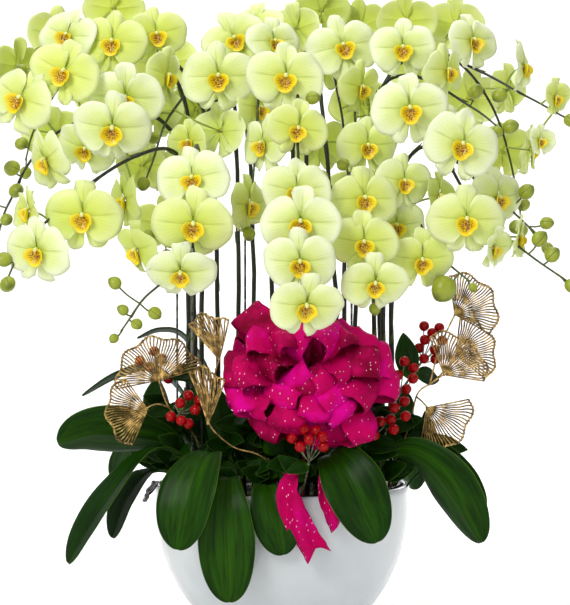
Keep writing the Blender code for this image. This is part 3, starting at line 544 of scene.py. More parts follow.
class LipFinish(Finish):
    """Golden lip with red-brown speckles in its throat, under a whitish column."""

    GOLD = shade(240, 206, 10)
    RIM = shade(248, 226, 40)
    THROAT = shade(214, 158, 10)
    SPECKLE = shade(104, 44, 10)
    COLUMN = shade(226, 232, 160)

    def __init__(self) -> None:
        """Builds the nodes."""
        super().__init__("lip_golden", Roughness=0.35, Subsurface_Weight=0.1,
                         Subsurface_Scale=0.002, Coat_Roughness=0.2)
        along = self.read("along")
        gold = self.mixed(self.GOLD, self.RIM, along.step(0.6, 1.0))
        gold = self.mixed(gold, self.THROAT, along.step(0.55, 0.1) * 0.8)
        spots = self.grain(620.0, 1.0).step(0.46, 0.56)
        gold = self.mixed(gold, self.SPECKLE, spots * along.step(0.80, 0.35) * 0.95)
        bars = ((self.read("across") * 46.0).sine() > 0.35) * along.step(0.85, 0.45)
        gold = self.mixed(gold, self.SPECKLE, bars * along.step(0.2, 0.4) * 0.45)
        self.shine(Base_Color=self.mixed(gold, self.COLUMN, along > 1.5))
        self.bump(self.grain(700.0), 0.0002, 0.5)


class StemFinish(Finish):
    """Flower stem, near-black green with a waxy light, and yellow-green where it thins."""

    DARK = shade(22, 34, 16)
    PURPLE = shade(44, 26, 24)
    FRESH = shade(104, 128, 34)
    STALK = shade(150, 172, 62)

    def __init__(self) -> None:
        """Builds the nodes."""
        super().__init__("stem_dark_green", Roughness=0.36, Coat_Roughness=0.25)
        along, tint = self.read("along"), self.read("tint")
        cloud = self.grain(45.0, 4.0)
        bark = self.mixed(self.DARK, self.PURPLE, cloud.step(0.45, 0.7) * 0.7)
        bark = self.mixed(bark, self.FRESH, (along + cloud * 0.3).step(0.85, 1.25) * 0.55)
        speck = self.grain(1400.0, 1.0).step(0.6, 0.68)
        bark = self.mixed(bark, self.STALK, tint.step(0.6, 0.9) * (0.95 - along * 0.2))
        self.shine(Base_Color=self.mixed(bark, self.FRESH, speck * 0.25),
                   Roughness=0.3 + cloud * 0.2)
        self.bump(self.grain(500.0, 3.0), 0.0003, 0.6)


class BudFinish(Finish):
    """Plump yellow-green buds with three seams, darker and greener in blotches and towards the tip and the
    base, partly their own colour and partly painted shade.
    """

    BODY = shade(154, 166, 44)
    SHADE = shade(104, 118, 20)
    SEAM = shade(78, 90, 16)

    def __init__(self) -> None:
        """Builds the nodes."""
        super().__init__("bud_yellow_green", Roughness=0.38, Subsurface_Weight=0.12,
                         Subsurface_Scale=0.003)
        along, across = self.read("along"), self.read("across")
        cloud = self.grain(120.0)
        seam = (across * math.tau * 1.5).sine().size().step(0.16, 0.0)
        # Darker olive in blotches and towards the tip and the base: partly the bud's own colour, partly
        # painted shade.
        body = self.mixed(self.BODY, self.SHADE,
                          (cloud * 0.7 + along.step(0.5, 1.0) * 0.5).step(0.3, 0.9))
        body = self.mixed(body, self.SHADE, along.step(0.3, 0.0) * 0.6)
        self.shine(Base_Color=self.mixed(body, self.SEAM, seam * 0.7),
                   Roughness=0.34 + cloud * 0.12)
        self.bump(self.grain(600.0) * 0.4 - seam, 0.0004, 0.7)


class LeafFinish(Finish):
    """Thick waxy leaf, dark green and mottled, with a pale midrib, a thin pale edge, painted shade down the
    channel in its middle and painted sheen along fine lengthwise lines.
    """

    DARK = shade(15, 52, 0)
    DEEP = shade(3, 24, 0)
    LIGHT = shade(62, 116, 0)
    CHANNEL_SHADE = shade(10, 30, 0)
    EDGE = shade(70, 104, 20)

    def __init__(self) -> None:
        """Builds the nodes."""
        super().__init__("leaf_waxy_green", Roughness=0.3, Coat_Roughness=0.25,
                         Specular_IOR_Level=0.09)
        along, across, tint = self.read("along"), self.read("across"), self.read("tint")
        cloud = self.grain(22.0, 4.0)
        drawn_out = self.node("ShaderNodeCombineXYZ", None,
                              {"X": along * 4.0, "Y": across * 6.0, "Z": tint * 9.0}, out="Vector")
        streak = self.grain(1.0, 3.0, drawn_out)
        body = self.mixed(self.DEEP, self.DARK, (cloud * 0.4 + streak * 0.6).step(0.28, 0.66))
        lit = (streak * 0.7 + tint * 0.4 + across.size() * -0.25).step(0.35, 0.95)
        body = self.mixed(body, self.LIGHT, lit * 0.4)
        body = self.mixed(body, self.LIGHT, along.step(0.25, 0.0) * 0.6)
        # Fine lengthwise vein lines, lightened as painted sheen.
        vein_lines_and_sheen = (across * 62.0 + self.grain(70.0) * 1.2).sine().size() ** 5.0
        body = self.mixed(body, self.LIGHT, vein_lines_and_sheen * 0.14)
        # Painted shade: a dark line down the channel in the leaf's middle.
        rib = across.size().step(0.05, 0.0) * along.step(1.0, 0.7)
        body = self.mixed(body, self.CHANNEL_SHADE, rib * 0.45)
        margin = across.size().step(0.965, 0.995)
        body = self.mixed(body, self.EDGE, margin * 0.8)
        pores = self.grain(1500.0, 1.0)
        self.shine(Base_Color=body, Roughness=0.34 + cloud * 0.2 + vein_lines_and_sheen * 0.04,
                   Coat_Weight=0.02 + cloud * 0.05)
        self.bump(vein_lines_and_sheen * -0.25 + pores * 0.35 + self.grain(60.0) * 1.2, 0.0005, 0.6)


@dataclass(frozen=True)
class Bloom:
    """Open flower: its middle in centimetres, its turn, tilt and lean in degrees, its width."""

    x: float
    y: float
    z: float
    yaw: float
    pitch: float
    roll: float
    width: float

    def axes(self) -> tuple[Vector, Vector, Vector]:
        """Directions of the flower.

        Returns:
            Its right, up and forward.
        """
        yaw, pitch, roll = (math.radians(angle) for angle in (self.yaw, self.pitch, self.roll))
        forward = Vector((math.sin(yaw) * math.cos(pitch), -math.cos(yaw) * math.cos(pitch),
                          math.sin(pitch)))
        level = Vector((math.cos(yaw), math.sin(yaw), 0))
        upward = forward.cross(level)
        return (level * math.cos(roll) - upward * math.sin(roll),
                level * math.sin(roll) + upward * math.cos(roll), forward)

    def middle(self) -> Vector:
        """Its middle, in metres."""
        return cm((self.x, self.y, self.z))


@dataclass(frozen=True)
class Bud:
    """Closed bud: its middle and its length, in centimetres."""

    x: float
    y: float
    z: float
    size: float


@dataclass(frozen=True)
class Spike:
    """Flower spike: the stem's route in centimetres, its flowers and its buds."""

    name: str
    route: list[Point]
    blooms: list[Bloom]
    buds: list[Bud]


@dataclass(frozen=True)
class Leaf:
    """Strap leaf: its route and width in centimetres, and the direction across it."""

    name: str
    route: list[Point]
    across: Point
    width: float


@dataclass(frozen=True)
class Lobe:
    """Petal or sepal as a fan about the flower's middle, in half widths and degrees."""

    middle: float
    spread: float
    reach: float
    shoulder: float
    base: float
    arch: float
    drop: float
    rows: int
    columns: int

    def spot(self, share: float, over: float, flower: "Flower") -> Vector:
        """Point of the lobe.

        Args:
            share: How far out, from 0 to 1.
            over: How far across, from -1 to 1.
            flower: The flower, for its own cup and waves.

        Returns:
            The point, in half widths, to the right, up and forward.
        """
        turn = math.radians(self.middle + flower.lean_of(self) + over * self.spread)
        upper = over * math.copysign(1, math.cos(math.radians(self.middle))) > 0 and self.columns > 12
        full = 0.0
        if abs(over) < 1:
            full = (1 - abs(over) ** 1.9) ** 0.62 if upper else (1 - abs(over) ** 2.6) ** 0.55
        reach = self.reach * blend(self.shoulder, 1.0, full)
        reach *= 1 + 0.034 * math.sin(over * 5 + flower.phase * 3 + self.middle)
        reach *= 1 + 0.010 * math.sin(over * 15 + flower.phase * 5)
        out = share * reach
        lift = self.base + self.arch * math.sin(math.pi * share * 0.92) - self.drop * out * out
        lift -= 0.030 * math.exp(-((over / 0.10) ** 2)) * math.sin(math.pi * share)
        lift -= 0.02 * abs(over) ** 3 * share
        lift += 0.100 * share**3 * math.sin(over * 4.2 + flower.phase + self.middle)
        lift += 0.028 * share**3 * math.sin(over * 11 + flower.phase * 2)
        lift += out * flower.tilt_of(self)
        lift += flower.cup * out * out
        narrow = 1 - max(0.0, flower.cup) * 0.5 * out
        return Vector((math.cos(turn) * out * narrow, math.sin(turn) * out * narrow, lift))


@dataclass
class Flower:
    """One open flower: two broad petals over three sepals, and a lip under its column."""

    bloom: Bloom
    name: str
    node: str
    thick: float = 0.0005
    lobes: tuple[Lobe, ...] = (
        Lobe(90, 30, 0.95, 0.30, -0.045, 0.06, 0.10, 8, 9),
        Lobe(-66, 27, 0.92, 0.28, -0.065, 0.06, 0.12, 8, 9),
        Lobe(-114, 27, 0.92, 0.28, -0.055, 0.06, 0.12, 8, 9),
        Lobe(6, 76, 1.02, 0.42, 0.020, 0.07, 0.11, 10, 21),
        Lobe(174, 76, 1.02, 0.42, 0.028, 0.07, 0.11, 10, 21),
    )
    lip_thick: float = 0.0008
    lip_across: float = 0.29
    lip_up: float = 0.27
    lip_middle: float = -0.13
    lip_rings: int = 7
    lip_sectors: int = 26

    def __post_init__(self) -> None:
        """Works out the flower's own look from its name, and painted shade from its place."""
        chance = random.Random(self.name)
        self.phase = chance.uniform(0, math.tau)
        # The tint is partly each flower's own, at random, and partly painted shade: raised for flowers
        # turned aside and for those further back.
        self.tint = chance.uniform(0.1, 0.85) + (0.35 if abs(self.bloom.yaw) > 40 else 0.0)
        self.tint += 0.14 * eased(-6, 4, self.bloom.y)
        self.leans = {
            lobe.middle: (chance.uniform(-7, 7), chance.uniform(-0.10, 0.10)) for lobe in self.lobes
        }
        self.cup = chance.uniform(-0.04, 0.06) + (0.22 if self.bloom.width < 6.9 else 0.0)
        self.middle = self.bloom.middle()
        self.half = self.bloom.width * CM / 2
        self.right, self.up, self.forward = self.bloom.axes()

    def lean_of(self, lobe: Lobe) -> float:
        """Turn of a lobe away from its usual place, in degrees."""
        return self.leans[lobe.middle][0]

    def tilt_of(self, lobe: Lobe) -> float:
        """How far a lobe tips forward, as a slope."""
        return self.leans[lobe.middle][1]

    def placed(self, spot: Vector) -> Vector:
        """Point in metres from one in half widths."""
        return self.middle + (self.right * spot.x + self.up * spot.y + self.forward * spot.z) * self.half

    def petals(self, finish: Finish) -> None:
        """Makes the petals and sepals.

        Args:
            finish: Their finish.
        """
        form = Form(self.tint)
        for lobe in self.lobes:
            overs = [-1 + 2 * column / (lobe.columns - 1) for column in range(lobe.columns)]
            shares = [blend(0.07, 1.0, row / (lobe.rows - 1)) for row in range(lobe.rows)]
            rows = [[self.placed(lobe.spot(share, over, self)) for over in overs] for share in shares]
            form.plate(rows, self.thick, 0.4)
        form.build(self.name + "_petals", finish, Slot.FLOWER, self.node)

    def lip_spot(self, share: float, turn: float) -> Vector:
        """Point of the lip's cup.

        Args:
            share: How far out, from 0 to 1.
            turn: Its turn about the lip's middle, in degrees.

        Returns:
            The point, in half widths, to the right, up and forward.
        """
        def near(middle: float, width: float) -> float:
            """How near the turn is to a middle, from 0 far away to 1 there."""
            gap = (turn - middle + 180) % 360 - 180
            return math.exp(-((gap / width) ** 2))

        reach = 1 - 0.30 * near(90, 34) - 0.15 * near(-36, 13) - 0.15 * near(216, 13)
        reach += 0.14 * near(270, 30)
        angle = math.radians(turn)
        side = abs(math.cos(angle)) ** 1.5
        forward = 0.05 + 0.26 * share**1.7 * (0.12 + 0.88 * side * (1 - 0.4 * near(270, 50)))
        forward += 0.14 * share**2 * near(270, 30) + 0.05 * math.exp(-share * share / 0.05)
        return Vector((self.lip_across * share * reach * math.cos(angle),
                       self.lip_middle + self.lip_up * share * reach * math.sin(angle), forward))

    def lip(self, finish: Finish) -> None:
        """Makes the three-lobed lip and the column over it.

        Args:
            finish: Their finish.
        """
        form = Form(self.tint)
        turns = [90 + 360 * side / self.lip_sectors for side in range(self.lip_sectors + 1)]
        shares = [blend(0.05, 1.0, ring / (self.lip_rings - 1)) for ring in range(self.lip_rings)]
        rows = [[self.placed(self.lip_spot(share, turn)) for turn in turns] for share in shares]
        form.plate(rows, self.lip_thick, 0.6)
        route = [self.placed(Vector(spot)) for spot in
                 ((0, 0.02, 0.02), (0, 0.055, 0.08), (0, 0.05, 0.14), (0, 0.015, 0.18), (0, -0.015, 0.19))]
        radii = [self.half * girth for girth in (0.045, 0.052, 0.056, 0.05, 0.022)]
        form.tube(route, radii, 9, 2.0, 2.0)
        form.build(self.name + "_lip", finish, Slot.FLOWER, self.node)


@dataclass
class FlowerSpike:
    """Arching stem with its flowers on stalks and its buds towards the tip."""

    plan: Spike
    base_radius: float = 0.0031
    tip_radius: float = 0.0011
    stalk_radius: float = 0.0011
    joint_gap: float = 0.062
    joint_length: float = 0.004
    joint_swell: float = 0.22
    back_reach: float = 0.012
    crown_z: float = 0.49
    front_crown_z: float = 0.33
    front_y: float = -0.12

    def __post_init__(self) -> None:
        """Lays the stem's route and picks its crown, the part that stalks may spring from."""
        self.route = smooth_route([cm(point) for point in self.plan.route], 10)
        self.route[0].z -= 0.004
        self.crown = [
            point for point in self.route
            if point.z > self.crown_z or (point.z > self.front_crown_z and point.y < self.front_y)
        ]

    def root_of(self, place: Vector) -> Vector:
        """Nearest point of the crown."""
        return min(self.crown[:-1], key=lambda spot: (spot - place).length)

    def stem(self, finish: Finish) -> None:
        """Makes the stem with its joints and bracts, and the stalks.

        Args:
            finish: Their finish.
        """
        form = Form(0.0)
        length, radii, last = 0.0, [], self.route[0]
        bracts = []
        for step, place in enumerate(self.route):
            length += (place - last).length
            last = place
            share = step / (len(self.route) - 1)
            joint = (length / self.joint_gap) % 1.0
            off = min(joint, 1 - joint) * self.joint_gap / self.joint_length
            swell = 1 + self.joint_swell * math.exp(-(off**2))
            radii.append(blend(self.base_radius, self.tip_radius, share) * swell)
            if int(length / self.joint_gap) > len(bracts):
                bracts.append(step)
        form.tube([place + crumple(place, 0.045, 0.0016, 3) for place in self.route], radii, 10)
        along = directions(self.route)
        for number, step in enumerate(bracts):
            side = along[step].orthogonal().normalized()
            side.rotate(Quaternion(along[step], number * 2.2))
            place, wide = self.route[step], radii[step]
            root = place - along[step] * wide * 1.2 + side * wide * 0.3
            waist = place + along[step] * wide + side * wide * 0.7
            tip = place + along[step] * wide * 4.5 + side * wide * 1.5
            form.tube([root, waist, tip], [wide * 1.05, wide * 0.9, wide * 0.15], 7, 0.9, 1.0, 0.6)
        form.tint = 1.0
        for bloom in self.plan.blooms:
            forward = bloom.axes()[2]
            tip = bloom.middle()
            root = self.root_of(tip - forward * self.back_reach)
            gap = (tip - root).length
            bend = root.lerp(tip, 0.6) - forward * gap * 0.15
            route = smooth_route([root, bend, tip], 6)
            form.tube(route, [blend(1.25, 1.0, i / 12) * self.stalk_radius for i in range(len(route))], 7)
        form.tint = 0.7
        for bud in self.plan.buds:
            tip = cm((bud.x, bud.y, bud.z))
            root = self.root_of(tip)
            route = smooth_route([root, root.lerp(tip, 0.5) + Vector((0, 0, -0.002)), tip], 4)
            form.tube(route, [self.stalk_radius * 0.95] * len(route), 7)
        form.build(self.plan.name + "_stem", finish, Slot.FLOWER, self.plan.name)

    def buds(self, finish: Finish) -> None:
        """Makes the buds.

        Args:
            finish: Their finish.
        """
        form = Form(0.5)
        for bud in self.plan.buds:
            middle = cm((bud.x, bud.y, bud.z))
            away = (middle - self.root_of(middle)).normalized()
            half = bud.size * CM * 0.54
            axis = (away + Vector((0, 0, -0.15))).normalized()
            shares = [0.0, 0.05, 0.14, 0.28, 0.45, 0.62, 0.78, 0.90, 0.97, 1.0]
            girth = [0.12, 0.44, 0.70, 0.90, 0.96, 0.90, 0.72, 0.46, 0.22, 0.05]
            route = [middle + axis * half * (2 * share - 1) for share in shares]
            form.tube(route, [half * wide for wide in girth], 14, flat=0.86)
        form.build(self.plan.name + "_buds", finish, Slot.FLOWER, self.plan.name)

    def flowers(self, petal: Finish, lip: Finish) -> None:
        """Makes the open flowers.

        Args:
            petal: Finish of the petals and sepals.
            lip: Finish of the lips.
        """
        for number, bloom in enumerate(self.plan.blooms, 1):
            flower = Flower(bloom, f"{self.plan.name.replace('spike', 'flower')}_{number}", self.plan.name)
            flower.petals(petal)
            flower.lip(lip)


@dataclass
class StrapLeaf:
    """Thick arching leaf with a channel down its middle."""

    plan: Leaf
    rows: int = 34
    columns: int = 13
    thick: float = 0.0021
    dish: float = 0.08
    rib: float = 0.045
    wave: float = 0.020
    fine: int = 600
    neck: float = 0.20
    swell: float = 0.90
    round_from: float = 0.66
    round_over: float = 0.342

    def width_at(self, share: float) -> float:
        """Width of the blade, which is slim at its neck, broadest past its middle and round at its tip.

        Args:
            share: How far along, from 0 to 1.

        Returns:
            The width, in metres.
        """
        wide = self.neck + self.swell * eased(0.22, 0.72, share)
        if share > self.round_from:
            wide *= math.sqrt(max(0.0, 1 - ((share - self.round_from) / self.round_over) ** 2.3))
        return wide * self.plan.width * CM

    def blade(self, finish: Finish) -> None:
        """Makes the blade.

        Args:
            finish: Its finish.
        """
        chance = random.Random(self.plan.name)
        route = even_steps(smooth_route([cm(point) for point in self.plan.route], 8), self.fine + 1)
        phase, rows = chance.uniform(0, 6), []
        along_all = directions(route)
        upper = 1 if sum(Vector(self.plan.across).cross(along).z for along in along_all) > 0 else -1
        for step in range(self.rows):
            near = round((1 - (1 - step / (self.rows - 1)) ** 1.7) * self.fine)
            share, centre, along = near / self.fine, route[near], along_all[near]
            across = Vector(self.plan.across)
            across = (across - along * across.dot(along)).normalized()
            face = across.cross(along) * upper
            wide = self.width_at(share)
            row = []
            for column in range(self.columns):
                over = -1 + 2 * column / (self.columns - 1)
                lift = self.dish * wide * over * over
                lift -= self.rib * wide * math.exp(-((over / 0.16) ** 2))
                lift += self.wave * wide * over * math.sin(share * 8 + phase)
                row.append(centre + across * over * wide / 2 + face * lift)
            rows.append(row)
        form = Form(chance.random())
        form.plate(rows, self.thick, 0.3)
        form.build(self.plan.name + "_blade", finish, Slot.LEAF, self.plan.name)


class RibbonFinish(Finish):
    """Magenta organza ribbon with a fine weave and small silver glitter, and painted shade and highlights in
    blotches and from piece to piece.
    """

    HIGHLIGHT = shade(236, 0, 158)
    BODY = shade(202, 0, 94)
    DEEP = shade(116, 0, 36)
    GLITTER = shade(250, 226, 240)

    def __init__(self) -> None:
        """Builds the nodes."""
        super().__init__("ribbon_magenta_glitter", Sheen_Weight=0.05, Sheen_Roughness=0.35,
                         Sheen_Tint=(1.0, 0.0, 0.5, 1.0), Specular_IOR_Level=0.06)
        along, across, tint = self.read("along"), self.read("across"), self.read("tint")
        cloud = self.grain(42.0, 3.0)
        # Painted shade and highlight: deeper and brighter magenta in blotches and by each piece's tint.
        body = self.mixed(self.DEEP, self.BODY, (cloud + tint * 0.5).step(0.30, 0.80))
        body = self.mixed(body, self.HIGHLIGHT, (cloud + tint * 0.5).step(0.78, 1.15) * 0.85)
        weave = (across * 130.0).sine() * (along * 620.0).sine()
        body = self.mixed(body, self.DEEP, weave.step(0.1, 1.0) * 0.28)
        body = self.mixed(body, self.DEEP, across.size().step(0.955, 0.985) * 0.5)
        drawn = self.node("ShaderNodeVectorMath", {"operation": "MULTIPLY"},
                          {0: self.place(), 1: (1.0, 0.8, 0.42)})
        cells = self.node("ShaderNodeTexVoronoi", None,
                          {"Vector": drawn, "Scale": 250.0, "Randomness": 1.0}, out="Distance")
        dots = cells.step(0.135, 0.085)
        self.shine(Base_Color=self.mixed(body, self.GLITTER, dots * 0.92),
                   Roughness=0.5 - dots * 0.22 + cloud * 0.1)
        self.bump(weave * 0.5 + dots * 1.2 + self.grain(140.0) * 1.5, 0.0003, 0.7)


class GoldFinish(Finish):
    """Thin gilded wire, bright where it catches light and browner between."""

    PALE = shade(222, 186, 114)
    BROWN = shade(56, 38, 16)

    def __init__(self) -> None:
        """Builds the nodes."""
        super().__init__("wire_pale_gold", Specular_IOR_Level=0.5)
        cloud = self.grain(140.0, 3.0)
        wear_and_shade = self.grain(900.0, 2.0)
        # Painted shade: brown in blotches between the bright gold.
        brown_shade = (cloud * 0.8 + wear_and_shade * 0.3).step(0.38, 0.68) * 0.85
        self.shine(Base_Color=self.mixed(self.PALE, self.BROWN, brown_shade),
                   Metallic=0.94 - wear_and_shade * 0.15, Roughness=0.26 + wear_and_shade * 0.2)
        self.bump(wear_and_shade, 0.0002, 0.5)


class BerryFinish(Finish):
    """Glossy red lacquered berry with a dark eye at its end."""

    RED = shade(164, 0, 8)
    DARK = shade(72, 0, 6)
    EYE = shade(34, 20, 12)

    def __init__(self) -> None:
        """Builds the nodes."""
        super().__init__("berry_lacquer_red", Coat_Weight=0.34, Coat_Roughness=0.02,
                         Specular_IOR_Level=0.04)
        along = self.read("along")
        cloud = self.grain(260.0)
        body = self.mixed(self.RED, self.DARK, cloud.step(0.42, 0.75) * 0.6)
        self.shine(Base_Color=self.mixed(body, self.EYE, along.step(0.965, 0.985)),
                   Roughness=0.2 + cloud * 0.15)
        self.bump(self.grain(300.0), 0.0002, 0.35)


class TwigFinish(Finish):
    """Wrapped twig, pale silver-green over brown."""

    PALE = shade(148, 156, 122)
    BROWN = shade(72, 56, 34)

    def __init__(self) -> None:
        """Builds the nodes."""
        super().__init__("twig_silver_green")
        wraps = (self.read("along") * 420.0).sine()
        cloud = self.grain(300.0)
        self.shine(Base_Color=self.mixed(self.PALE, self.BROWN, (cloud + wraps * 0.08).step(0.42, 0.62)),
                   Roughness=0.55 + cloud * 0.2)
        self.bump(wraps + cloud, 0.0002, 0.8)


class StakeFinish(Finish):
    """Thin support stake, grey-silver wrap over dark steel, scuffed."""

    SILVER = shade(150, 156, 150)
    DARK = shade(34, 42, 32)

    def __init__(self) -> None:
        """Builds the nodes."""
        super().__init__("stake_silver_wrap")
        wrap = (self.read("along") * 900.0 + self.read("across") * math.tau).sine()
        cloud = self.grain(120.0, 4.0)
        self.shine(Base_Color=self.mixed(self.SILVER, self.DARK, (cloud + wrap * 0.06).step(0.40, 0.58)),
                   Metallic=cloud.step(0.6, 0.35) * 0.7, Roughness=0.32 + cloud * 0.25)
        self.bump(wrap * 0.5 + cloud, 0.0002, 0.7)


class GlazeFinish(Finish):
    """White glazed ceramic, glossy and faintly uneven."""

    WHITE = shade(226, 231, 234)
    COOL = shade(208, 216, 221)

    def __init__(self) -> None:
        """Builds the nodes."""
        super().__init__("glaze_white", Coat_Weight=0.5, Coat_Roughness=0.04, IOR=1.52)
        cloud = self.grain(9.0, 3.0)
        pits = self.grain(420.0, 2.0)
        self.shine(Base_Color=self.mixed(self.WHITE, self.COOL, cloud.step(0.35, 0.75) * 0.8),
                   Roughness=0.09 + cloud * 0.07 + pits.step(0.62, 0.75) * 0.05)
        self.bump(cloud * 2.0 + pits * 0.12, 0.0006, 0.25)


class BarkFinish(Finish):
    """Damp bark chips, brown to near black."""

    BROWN = shade(84, 56, 34)
    BLACK = shade(22, 17, 13)
    MOSS = shade(74, 84, 34)

    def __init__(self) -> None:
        """Builds the nodes."""
        super().__init__("bark_chips")
        tint, cloud = self.read("tint"), self.grain(130.0, 5.0)
        body = self.mixed(self.BLACK, self.BROWN, (cloud + tint * 0.5).step(0.42, 0.95))
        body = self.mixed(body, self.MOSS, self.grain(30.0, 2.0).step(0.58, 0.7) * 0.5)
        self.shine(Base_Color=body, Roughness=0.62 + cloud * 0.3)
        self.bump(self.grain(420.0, 5.0), 0.0012, 0.9)


class FilmFinish(Finish):
    """Crumpled black plastic film tucked inside the rim."""

    BLACK = shade(10, 11, 12)
    GREY = shade(46, 50, 52)

    def __init__(self) -> None:
        """Builds the nodes."""
        super().__init__("film_black", Coat_Weight=0.4, Coat_Roughness=0.08)
        cloud = self.grain(90.0, 3.0)
        self.shine(Base_Color=self.mixed(self.BLACK, self.GREY, cloud.step(0.5, 0.8) * 0.7),
                   Roughness=0.16 + cloud * 0.2)
        self.bump(self.grain(160.0, 4.0), 0.002, 0.8)


@dataclass(frozen=True)
class Tail:
    """Hanging ribbon end: its route, width and notch in centimetres, and the way across."""

    name: str
    route: list[Point]
    across: Point
    width: float
    notch: float


@dataclass(frozen=True)
class Fan:
    """Wire fan: stem end, middle direction, plane normal, radius and opening in degrees."""

    x: float
    y: float
    z: float
    middle: Point
    normal: Point
    radius: float
    opening: float


@dataclass(frozen=True)
class Pick:
    """Gold pick: its wires' routes in centimetres and its fans."""

    name: str
    wires: list[list[Point]]
    fans: list[Fan]


@dataclass(frozen=True)
class Sprig:
    """Berry sprig: branches, clusters of berries and small leaves, in centimetres."""

    name: str
    branches: list[list[Point]]
    clusters: list[list[Point]]
    leaves: list[tuple[Point, Point]]


@dataclass
class Bow:
    """Ribbon bow: loops that stand out on every side of a wired heart."""

    finish: Finish
    ribbon: float = 0.043
    thick: float = 0.0005
    heart: Vector = field(default_factory=lambda: cm(BOW_CENTRE))
    reach: Vector = field(default_factory=lambda: cm(BOW_REACH))
    fullness: float = 1.02
    puff: float = 0.0035
    folds: tuple[tuple[float, float], ...] = ((0.030, 0.0070), (0.011, 0.0022))
    ways: int = 70
    nearest: float = 0.90
    steps: int = 26
    columns: int = 9

    def tips(self) -> list[tuple[Vector, float]]:
        """Picks where the loops point: the face's own, then others for the sides and the back.

        Returns:
            Direction and turn of each loop.
        """
        chance = random.Random(11)
        found = []
        for across, up in BOW_LOOPS:
            out = math.sqrt(max(0.05, 1 - across * across - up * up))
            far = Vector((across, -out, up)).length * chance.uniform(0.92, 1.06)
            found.append((Vector((across, -out, up)).normalized() * far, chance.uniform(-0.5, 0.5)))
        golden = math.pi * (3 - math.sqrt(5))
        for number in range(self.ways):
            rise = 1 - 2 * (number + 0.5) / self.ways
            turn = number * golden
            ring = math.sqrt(1 - rise * rise)
            way = Vector((ring * math.cos(turn), ring * math.sin(turn), rise))
            if max(way.dot(other.normalized()) for other, _ in found) < self.nearest:
                found.append((way * chance.uniform(0.86, 1.04), chance.uniform(-0.9, 0.9)))
        return found

    def loop(self, number: int, way: Vector, turn: float) -> None:
        """Makes one loop of ribbon, gathered at the heart and crumpled.

        Args:
            number: Its number, for its name.
            way: Direction of its tip from the heart, as a share of the bow's reach.
            turn: How far its fold turns from upright, in radians.
        """
        chance = random.Random(number * 7 + 1)
        length = Vector((way.x * self.reach.x, way.y * self.reach.y, way.z * self.reach.z))
        far = length.length * self.fullness * chance.uniform(0.94, 1.05)
        out = length.normalized()
        facing = Vector((0, math.copysign(1 - abs(out.y), out.y - 0.3), 0))
        facing += Vector((math.sin(turn * 1.6), 0, math.cos(turn * 1.6))) * (0.25 + 0.75 * abs(out.y))
        fold = (facing - out * facing.dot(out)).normalized()
        over = out.cross(fold)
        open_by = chance.uniform(0.013, 0.019)
        rows: list[list[Vector]] = []
        seed = number * 3.1
        for step in range(self.steps + 1):
            angle = math.tau * (0.03 + 0.94 * step / self.steps)
            swing = math.sin(angle / 2)
            centre = self.heart + out * far * (1 - math.cos(angle)) / 2
            centre -= fold * open_by * math.sin(angle) * (0.35 + 0.9 * swing**2)
            wide = self.ribbon * (0.45 + 0.55 * swing**0.8)
            normal = (out * -math.cos(angle) + fold * -math.sin(angle)).normalized()
            row = []
            for column in range(self.columns):
                side = -1 + 2 * column / (self.columns - 1)
                place = centre + over * side * wide / 2 + normal * (self.puff * (1 - side * side) * swing)
                pushes = [crumple(place, size, depth, seed) for size, depth in self.folds]
                row.append(place + sum(pushes, Vector()))
            rows.append(row)
        middle = self.columns // 2
        path = sum((a[middle] - b[middle]).length for a, b in zip(rows, rows[1:]))
        form = Form(chance.random())
        form.plate(rows, self.thick, 0.8)
        obj = form.build(f"ribbon_loop_{number:02d}", self.finish, Slot.RIBBON, "bow")

    def build(self) -> int:
        """Makes the heart with its wire, and every loop.

        Returns:
            How many loops there are.
        """
        heart = Form(0.2)
        heart.ball(self.heart + Vector((0, 0.005, 0)), 0.022, 14, 8, Vector((1, 0, 0)), 0.9)
        wire = smooth_route([cm(p) for p in ((2.8, -12, 30), (2.6, -11, 22), (2.4, -9.4, 16.2))], 6)
        heart.tube(wire, [0.0015] * len(wire), 8)
        for index, place in enumerate(heart.points):
            heart.points[index] = place + crumple(place, 0.02, 0.002)
        heart.build("bow_heart", self.finish, Slot.RIBBON, "bow")
        tips = self.tips()
        for number, (way, turn) in enumerate(tips, 1):
            self.loop(number, way, turn)
        return len(tips)


@dataclass
class RibbonTail:
    """Hanging end of the ribbon, cut to a swallowtail."""

    plan: Tail
    thick: float = 0.0006
    rows: int = 30
    columns: int = 11
    sway: float = 0.0042
    folds: tuple[tuple[float, float], ...] = ((0.02, 0.0024), (0.008, 0.0010))
    area_share: float = 0.86

    def build(self, finish: Finish) -> None:
        """Makes the tail, and works out the length of its longer edge.

        Args:
            finish: Its finish.
        """
        route = even_steps(smooth_route([cm(point) for point in self.plan.route], 8), self.rows)
        wide, rows = self.plan.width * CM, []
        for step, (centre, along) in enumerate(zip(route, directions(route))):
            share = step / (self.rows - 1)
            across = Vector(self.plan.across)
            across = (across - along * across.dot(along)).normalized()
            face = across.cross(along)
            half = wide * blend(0.5, 1.0, eased(0.0, 0.6, share)) / 2
            row = []
            for column in range(self.columns):
                side = -1 + 2 * column / (self.columns - 1)
                cut = self.plan.notch * CM * (1 - abs(side)) * share**3
                place = centre + across * side * half - along * cut
                place += face * self.sway * math.sin(side * 3.6 + share * 7) * (0.4 + share)
                row.append(sum((crumple(place, size, depth) for size, depth in self.folds), place))
            rows.append(row)
        length = max(
            sum((a[edge] - b[edge]).length for a, b in zip(rows, rows[1:])) for edge in (0, -1)
        )
        form = Form(0.62)
        form.plate(rows, self.thick, 0.8)
        obj = form.build(self.plan.name + "_cloth", finish, Slot.RIBBON, self.plan.name)


